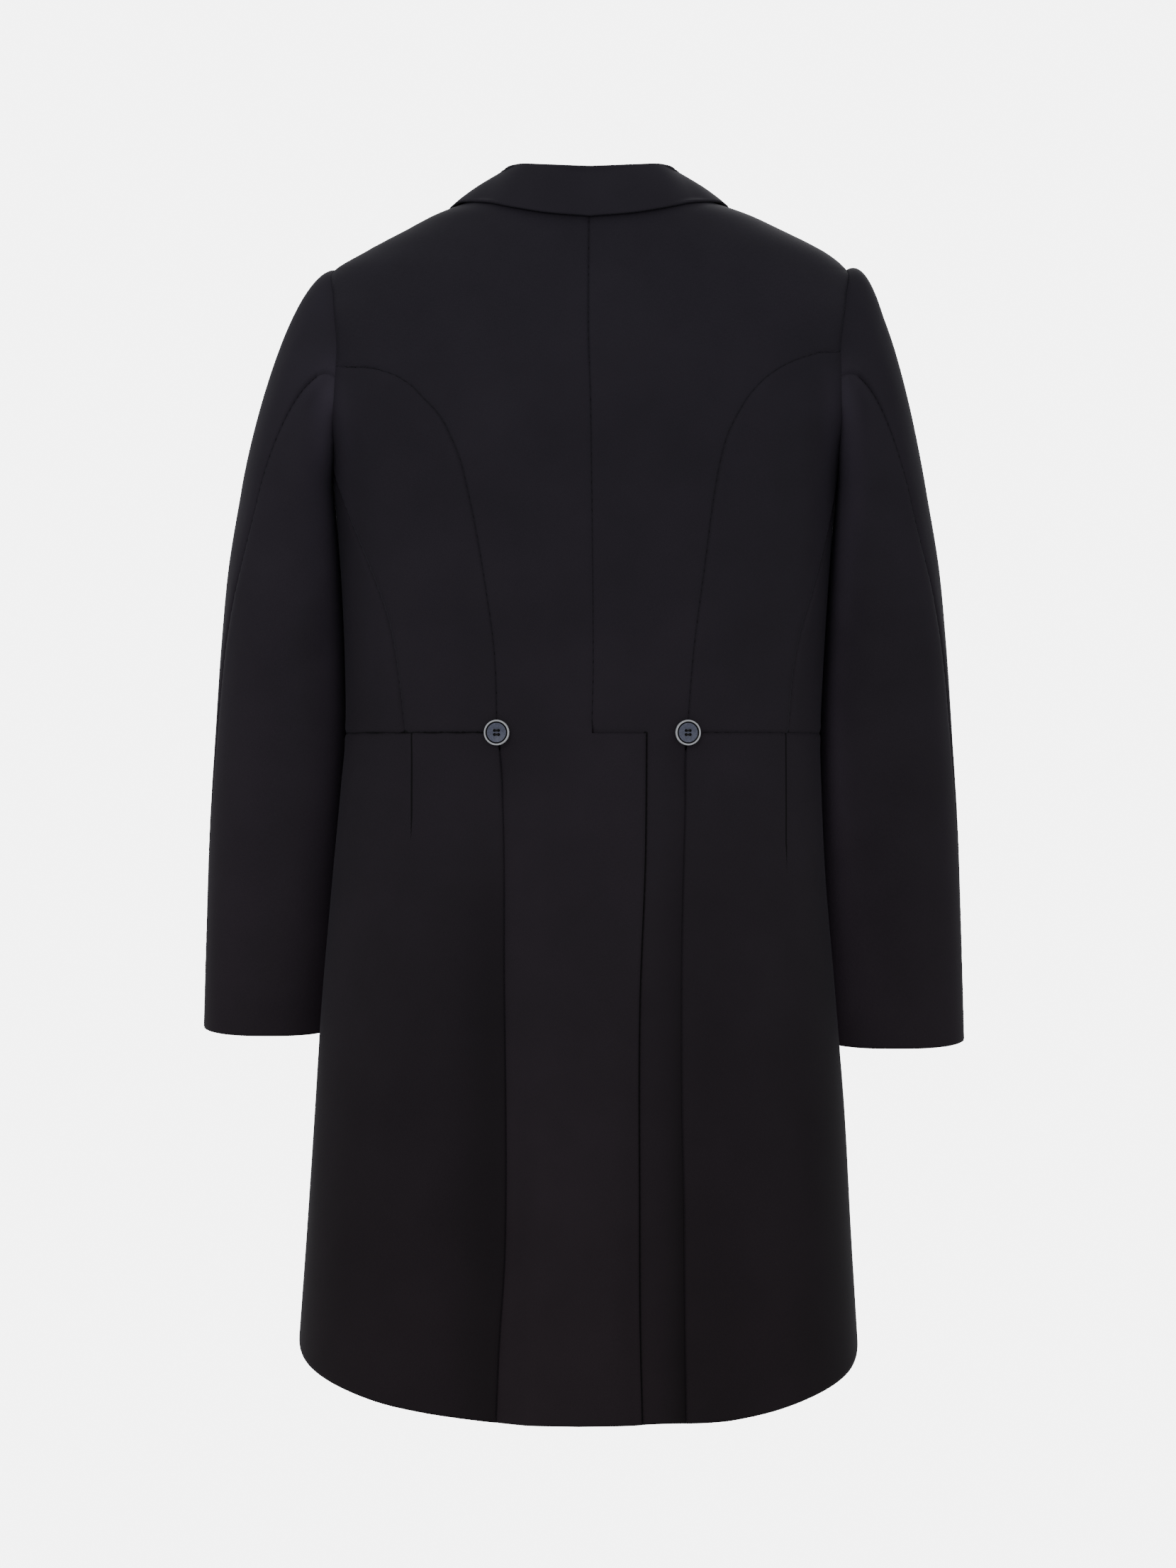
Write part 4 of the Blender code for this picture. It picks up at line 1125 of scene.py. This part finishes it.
def wool(settings):
    """Black worsted: a fine weave, slightly uneven in tone, with painted shade that makes it darker and
    redder towards the hem and darker along its seams, and soft bands of painted light and shade.
    """
    look, tree, shader = surface("black_wool", 0.78, settings.gloss)
    shader.inputs["Sheen Weight"].default_value = settings.sheen
    shader.inputs["Sheen Roughness"].default_value = 0.45
    shader.inputs["Sheen Tint"].default_value = (0.80, 0.82, 1.0, 1.0)
    place = node(tree, "ShaderNodeUVMap")
    warp = node(tree, "ShaderNodeMapping", {"Vector": place, "Scale": (YARN_ACROSS, YARN_ALONG, 1.0)})
    weft = node(tree, "ShaderNodeMapping", {"Vector": place, "Scale": (YARN_ALONG, YARN_ACROSS, 1.0)})
    yarns = [
        node(tree, "ShaderNodeTexNoise", {"Vector": way, "Scale": 1.0, "Detail": 1.0, "Roughness": 0.5})
        for way in (warp, weft)
    ]
    weave = (yarns[0] + yarns[1]) * 0.5
    body = node(tree, "ShaderNodeTexCoord", output=3)
    tone = node(tree, "ShaderNodeTexNoise", {"Vector": body, "Scale": 11.0, "Detail": 3.0, "Roughness": 0.6})
    # Painted light and shade: the wool is painted lighter at the shoulders and darker and redder towards the
    # hem
    height = node(tree, "ShaderNodeSeparateXYZ", (body,), 2)
    rise = node(tree, "ShaderNodeMapRange", (height, settings.hem, settings.shoulder, 0.0, 1.0))
    colour = mix(tree, rise, (*settings.low, 1.0), (*settings.high, 1.0))
    # The tone attribute is painted light and shade: it lightens some bands of the wool and darkens others
    painted_light = node(tree, "ShaderNodeAttribute", output=2, attribute_name="tone")
    uneven = (weave * 0.5 + tone * 0.5 + 0.5) * painted_light
    colour = node(tree, "ShaderNodeVectorMath", {0: colour, "Scale": uneven}, operation="SCALE")
    # Painted shade: the wool turns almost black along each seam and dart, where shade lies in the groove
    for label in ("seam", "dart"):
        apart = node(tree, "ShaderNodeAttribute", output=2, attribute_name=label).math("ABSOLUTE")
        limits = (apart, settings.line / 2, settings.line, settings.line_depth, 0.0)
        line = node(tree, "ShaderNodeMapRange", limits)
        colour = mix(tree, line, colour, (*settings.groove, 1.0))
    tree.links.new(colour.socket, shader.inputs["Base Color"])
    bump = node(tree, "ShaderNodeBump", {"Strength": 0.35, "Distance": WEAVE_RISE, "Height": weave})
    tree.links.new(bump.socket, shader.inputs["Normal"])
    return look


def horn(settings):
    """A button's marbled disc inside a groove with painted shade, and a bright, thin rim; its holes have
    painted shade in and round them.
    """
    look, tree, shader = surface("marbled_horn", 0.35, 0.15)
    place = node(tree, "ShaderNodeUVMap")
    reach = node(tree, "ShaderNodeVectorMath", (place,), output=1, operation="LENGTH")
    cloud = node(
        tree, "ShaderNodeTexNoise", {"Vector": place, "Scale": 420.0, "Detail": 4.0, "Distortion": 1.6}
    )
    marble = mix(tree, cloud.math("SMOOTH_MIN", 1.0, 0.1), (*settings.dark, 1.0), (*settings.pale, 1.0))
    rim = reach.between(settings.groove_out, 2 * settings.radius)
    # Painted shade: the groove and the holes are painted almost black
    groove = reach.between(settings.groove_in, settings.groove_out)
    colour = mix(tree, rim, marble, (*settings.rim, 1.0))
    colour = mix(tree, groove, colour, (*settings.shade, 1.0))
    across, up = (
        node(tree, "ShaderNodeSeparateXYZ", (place,), axis).math("ABSOLUTE") - HOLE_SPREAD for axis in (0, 1)
    )
    hole = (across * across + up * up).math("LESS_THAN", (HOLE_RADIUS + HOLE_SHADE) ** 2)
    colour = mix(tree, hole, colour, (*settings.shade, 1.0))
    tree.links.new(colour.socket, shader.inputs["Base Color"])
    return look


def plain(name, colour, roughness):
    look, _, shader = surface(name, roughness, 0.3)
    shader.inputs["Base Color"].default_value = (*colour, 1.0)
    return look


def turned(profile, sides):
    """A turned solid as a mesh; map_from_above later gives it its own map in metres seen from above."""
    mesh = bmesh.new()
    rim = [mesh.verts.new((across, 0.0, up)) for across, up in profile]
    edges = [mesh.edges.new(pair) for pair in zip(rim, rim[1:])]
    bmesh.ops.spin(
        mesh, geom=rim + edges, axis=(0, 0, 1), cent=(0, 0, 0), steps=sides, angle=math.tau, use_merge=True
    )
    bmesh.ops.remove_doubles(mesh, verts=mesh.verts, dist=0.00001)
    bmesh.ops.recalc_face_normals(mesh, faces=mesh.faces)
    return mesh


def map_from_above(data):
    layer = data.uv_layers.new(name="UVMap")
    for loop in data.loops:
        layer.data[loop.index].uv = data.vertices[loop.vertex_index].co.xy


def stand_on(data, spot, outward):
    """Turns a mesh that was built upwards from 0 to point outward from a spot."""
    data.transform(outward.to_track_quat("Z", "Y").to_matrix().to_4x4())
    data.transform(Matrix.Translation(spot))


def hole(index):
    """A cutter for one of the button's four holes."""
    mesh = bmesh.new()
    bmesh.ops.create_cone(
        mesh, cap_ends=True, segments=20, radius1=HOLE_RADIUS, radius2=HOLE_RADIUS, depth=0.02
    )
    across = HOLE_SPREAD * (1 if index % 2 else -1)
    up = HOLE_SPREAD * (1 if index > 1 else -1)
    bmesh.ops.translate(mesh, verts=mesh.verts, vec=(across, up, 0.0))
    data = as_data(mesh, f"hole_{index}")
    return in_scene(data.name, data)


def button(name, node_name, spot, outward, settings, look):
    """A turned button with a raised rim, a groove and four holes, stood on the cloth."""
    radius = settings.radius
    height = settings.height
    profile = (
        (0.0, 0.0),
        (radius - 0.0014, 0.0),
        (radius - 0.0004, 0.0004),
        (radius, 0.0012),
        (radius, height - 0.0008),
        (radius - 0.0003, height - 0.0002),
        (radius - 0.0008, height),
        (radius - 0.0014, height - 0.0003),
        (radius - 0.0017, height - 0.0010),
        (radius - 0.0021, height - 0.0012),
        (radius - 0.0026, height - 0.0007),
        (0.0050, height - 0.0009),
        (0.0040, height - DISC_SINK),
        (0.0, height - DISC_SINK),
    )
    raw = in_scene(f"{name}_raw", as_data(turned(profile, 64), name))
    cutters = [hole(i) for i in range(4)]
    for cutter in cutters:
        cut = raw.modifiers.new(cutter.name, "BOOLEAN")
        cut.operation = "DIFFERENCE"
        cut.object = cutter
    bpy.context.view_layer.update()
    made = bpy.data.meshes.new_from_object(raw.evaluated_get(bpy.context.evaluated_depsgraph_get()))
    for old in (raw, *cutters):
        bpy.data.objects.remove(old)
    made.name = name
    map_from_above(made)
    made.shade_smooth()
    made.set_sharp_from_angle(angle=math.radians(40))
    stand_on(made, spot, outward)
    piece = in_scene(name, made)
    made.materials.append(look)
    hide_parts(node_name)
    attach(piece, "root")
    return piece


def thread(name, spot, outward, settings, look):
    """Two bars of thread over the holes, and the short shank below that holds the button on."""
    mesh = bmesh.new()
    over_disc = settings.height - DISC_SINK + THREAD_RISE
    for row in (-1, 1):
        for strand in (-1, 1):
            made = bmesh.ops.create_uvsphere(mesh, u_segments=16, v_segments=8, radius=1.0)["verts"]
            bmesh.ops.scale(mesh, verts=made, vec=STRAND)
            place = (0.0, row * HOLE_SPREAD + strand * STRAND_APART, over_disc)
            bmesh.ops.translate(mesh, verts=made, vec=place)
    made = bmesh.ops.create_cone(
        mesh, cap_ends=True, segments=20, radius1=SHANK[0], radius2=SHANK[1], depth=SHANK[2]
    )["verts"]
    bmesh.ops.translate(mesh, verts=made, vec=(0.0, 0.0, -0.0004))
    data = as_data(mesh, name)
    data.shade_smooth()
    stand_on(data, spot, outward)
    piece = in_scene(name, data)
    data.materials.append(look)
    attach(piece, "root")
    return piece


def metres(name, text, value, least=0.0):
    return bpy.props.FloatProperty(
        name=name, description=text, default=value, min=least, precision=5, subtype="DISTANCE", unit="LENGTH"
    )


def level(name, text, value):
    return bpy.props.FloatProperty(name=name, description=text, default=value, precision=5, unit="LENGTH")


def colour(name, text, value):
    return bpy.props.FloatVectorProperty(
        name=name, description=text, default=value, min=0.0, max=1.0, size=3, subtype="COLOR"
    )


def share(name, text, value, most=1.0):
    return bpy.props.FloatProperty(
        name=name, description=text, default=value, min=0.0, max=most, subtype="FACTOR"
    )


def number(name, text, value):
    return bpy.props.FloatProperty(name=name, description=text, default=value, min=0.0)


def power(name, text, value):
    return bpy.props.FloatProperty(name=name, description=text, default=value, min=0.0, unit="POWER")


class CoatCloth(bpy.types.PropertyGroup):
    """Sizes and colours of the cloth."""

    wall: metres("Wall", "Thickness of the cloth", CLOTH)
    spacing: metres("Spacing", "Distance between the grid lines of the cloth", 0.0032, 0.001)
    seam_depth: metres("Seam depth", "How far the cloth dips at a seam", 0.0009)
    pucker: metres("Pucker", "Height of the small waves beside a seam", 0.00010)
    fold_strength: share("Folds", "Strength of the soft folds", 1.0, 2.0)
    # The two colours below paint light at the shoulders and shade towards the hem
    high: colour("High", "Tone of the wool at the shoulders", (0.0135, 0.0118, 0.0168))
    low: colour("Low", "Tone of the wool at the hem", (0.0121, 0.0086, 0.0109))
    # The seam line is painted shade along each seam and dart
    line: metres("Seam line", "How far the dark line of a seam reaches", 0.0009)
    line_depth: share("Line strength", "How dark the line of a seam is", 0.94)
    groove: colour("Line tone", "Tone of the line of a seam", (0.0012, 0.0010, 0.0013))
    # Between these heights the painted light at the shoulders turns into the painted shade at the hem
    shoulder: level("Shoulder", "Above this height the wool has its high tone", -0.05)
    hem: level("Hem", "Below this height it has its low tone", -0.95)
    gloss: share("Gloss", "Strength of the straight reflection", 0.10)
    sheen: share("Sheen", "Strength of the sheen at grazing angles", 0.02)


class CoatButtons(bpy.types.PropertyGroup):
    """Sizes and colours of the buttons."""

    radius: metres("Radius", "Radius of a button", 0.0105)
    height: metres("Height", "Height of a button", 0.0036)
    gap: metres("Gap", "How far a button stands off the cloth", 0.0006)
    dark: colour("Dark", "Darker tone of the marbled disc", (0.012, 0.013, 0.022))
    pale: colour("Pale", "Lighter tone of the marbled disc", (0.110, 0.120, 0.170))
    rim: colour("Rim", "The thin outer rim", (0.330, 0.340, 0.360))
    # Painted shade in the groove and in and round the holes
    shade: colour("Shade", "Inside the groove and the holes", (0.001, 0.001, 0.002))
    groove_in: metres("Groove, inner", "Inner radius of the dark groove", 0.0079)
    groove_out: metres("Groove, outer", "Outer radius of the dark groove", 0.0091)


class CoatStage(bpy.types.PropertyGroup):
    """Light and background."""

    pale: colour("Background", "Pale grey of the background", (0.960, 0.962, 0.965))
    bright: number("Brightness", "How bright the background looks", 6.2)
    ambient: number("Ambient", "How much light it gives", 0.85)
    floor: metres("Floor", "How far below the hem the floor lies", 0.2012)
    key: power("Key", "Power of the main light, from the upper left", 60.0)
    fill: power("Fill", "Power of the light from the right", 22.0)
    back: power("Back", "Power of the light on the far side", 40.0)


GROUPS = (("coat_cloth", CoatCloth), ("coat_buttons", CoatButtons), ("coat_stage", CoatStage))


class BuildBody(bpy.types.Operator):
    """Backs with their tails, side bodies, fronts and lapels"""

    bl_idname = "coat.body"
    bl_label = "Body"

    def execute(self, context):
        settings = context.scene.coat_cloth
        look = wool(settings)
        lines = seam_lines()
        folds = body_creases()
        makers = {"back": back, "side_body": side_body, "forepart": forepart, "lapel": lapel}
        for side in (-1, 1):
            for part, make in makers.items():
                dress(make(side, settings, lines, folds), f"{part}_{NAMES[side]}", look)
        return {"FINISHED"}


class BuildSkirts(bpy.types.Operator):
    """Skirts with their darts and pleats"""

    bl_idname = "coat.skirts"
    bl_label = "Skirts"

    def execute(self, context):
        settings = context.scene.coat_cloth
        look = bpy.data.materials["black_wool"]
        lines = seam_lines()
        folds = body_creases()
        for side in (-1, 1):
            dress(skirt(side, settings, lines, folds), f"skirt_{NAMES[side]}", look)
        return {"FINISHED"}


class BuildSleeves(bpy.types.Operator):
    """Top and under sleeves, open at the cuff"""

    bl_idname = "coat.sleeves"
    bl_label = "Sleeves"

    def execute(self, context):
        settings = context.scene.coat_cloth
        look = bpy.data.materials["black_wool"]
        lines = sleeve_lines()
        folds = sleeve_creases()
        for side in (-1, 1):
            top, under = sleeve(side, settings, lines, folds)
            dress(top, f"top_sleeve_{NAMES[side]}", look)
            dress(under, f"under_sleeve_{NAMES[side]}", look)
        return {"FINISHED"}


class BuildCollar(bpy.types.Operator):
    """Collar with its stand and fall"""

    bl_idname = "coat.collar"
    bl_label = "Collar"

    def execute(self, context):
        settings = context.scene.coat_cloth
        far_seam = (form(np.linspace(-0.4, 0.4, 20), np.full(20, -0.3)), 1.0, 0.0)
        dress(collar(settings, [far_seam], []), "collar", bpy.data.materials["black_wool"])
        return {"FINISHED"}


class BuildButtons(bpy.types.Operator):
    """The two buttons at the back of the waist and the one that closes the front"""

    bl_idname = "coat.buttons"
    bl_label = "Buttons"

    def execute(self, context):
        settings = context.scene.coat_buttons
        look = horn(settings)
        yarn = plain("black_thread", (0.004, 0.004, 0.005), 0.8)
        places = [("front_button", math.pi, WAIST + FRONT_BUTTON)]
        for side in (-1, 1):
            turn = float(angle_of(side, read(PLEAT[side], "across", WAIST), np.float64(WAIST)))
            places.append((f"back_button_{NAMES[side]}", side * turn, WAIST))
        for name, turn, height in places:
            spot = Vector(on_form(np.float64(turn), np.float64(height), settings.gap))
            outward = Vector(on_form(np.float64(turn), np.float64(height), settings.gap + 0.01)) - spot
            button(f"{name}_disc", name, spot, outward, settings, look)
            thread(f"{name}_thread", spot, outward, settings, yarn)
        return {"FINISHED"}


class BuildStage(bpy.types.Operator):
    """Pale floor and background, soft lights and the camera"""

    bl_idname = "coat.stage"
    bl_label = "Stage"

    def execute(self, context):
        settings = context.scene.coat_stage
        mesh = bmesh.new()
        bmesh.ops.create_circle(mesh, cap_ends=True, segments=96, radius=FLOOR_RADIUS)
        bmesh.ops.translate(mesh, verts=mesh.verts, vec=(0.0, 0.0, HEM - settings.floor))
        floor = in_scene("floor", as_data(mesh, "floor"))
        floor.data.materials.append(plain("pale_floor", settings.pale, 0.9))
        light("key", (-1.9, -4.4, 1.5), 1.8, settings.key)
        light("fill", (2.2, -4.4, 0.2), 2.2, settings.fill)
        light("back", (0.6, 3.6, 1.8), 2.2, settings.back)
        world = bpy.data.worlds.new("pale")
        world.use_nodes = True
        tree = world.node_tree
        seen = node(tree, "ShaderNodeLightPath")
        strength = seen * (settings.bright - settings.ambient) + settings.ambient
        background = tree.nodes["Background"]
        background.inputs["Color"].default_value = (*settings.pale, 1.0)
        tree.links.new(strength.socket, background.inputs["Strength"])
        context.scene.world = world
        lens = bpy.data.cameras.new("camera")
        lens.sensor_fit = "VERTICAL"
        lens.sensor_height = 24.0
        lens.lens = lens.sensor_height / 2 * -CAMERA_SPOT[1] / HALF_VIEW
        camera = in_scene("camera", lens)
        camera.location = CAMERA_SPOT
        camera.rotation_euler = (math.pi / 2, 0.0, 0.0)
        context.scene.camera = camera
        return {"FINISHED"}


def light(name, place, size, strength):
    """A soft square light that faces the coat."""
    lamp = bpy.data.lights.new(name, "AREA")
    lamp.size = size
    lamp.energy = strength
    made = in_scene(name, lamp)
    made.location = place
    towards = Vector(COAT_MIDDLE) - Vector(place)
    made.rotation_euler = towards.to_track_quat("-Z", "Y").to_euler()


OPERATORS = (BuildBody, BuildSkirts, BuildSleeves, BuildCollar, BuildButtons, BuildStage)


class CoatPanel(bpy.types.Panel):
    """Sizes, colours and the steps that build the coat"""

    bl_idname = "VIEW3D_PT_morning_coat"
    bl_label = "Morning coat"
    bl_space_type = "VIEW_3D"
    bl_region_type = "UI"
    bl_category = "Morning coat"

    def draw(self, context):
        for name, group in GROUPS:
            box = self.layout.box()
            box.label(text=group.__doc__)
            for setting in group.__annotations__:
                box.prop(getattr(context.scene, name), setting)
        for operator in OPERATORS:
            self.layout.operator(operator.bl_idname)


def register():
    for _, group in GROUPS:
        bpy.utils.register_class(group)
    for operator in OPERATORS:
        bpy.utils.register_class(operator)
    bpy.utils.register_class(CoatPanel)
    for name, group in GROUPS:
        setattr(bpy.types.Scene, name, bpy.props.PointerProperty(type=group))


def unregister():
    for name, _ in GROUPS:
        delattr(bpy.types.Scene, name)
    bpy.utils.unregister_class(CoatPanel)
    for operator in reversed(OPERATORS):
        bpy.utils.unregister_class(operator)
    for _, group in reversed(GROUPS):
        bpy.utils.unregister_class(group)


def main():
    register()
    bpy.ops.coat.body()
    bpy.ops.coat.skirts()
    bpy.ops.coat.sleeves()
    bpy.ops.coat.collar()
    bpy.ops.coat.buttons()
    bpy.ops.coat.stage()


if __name__ == "__main__":
    main()
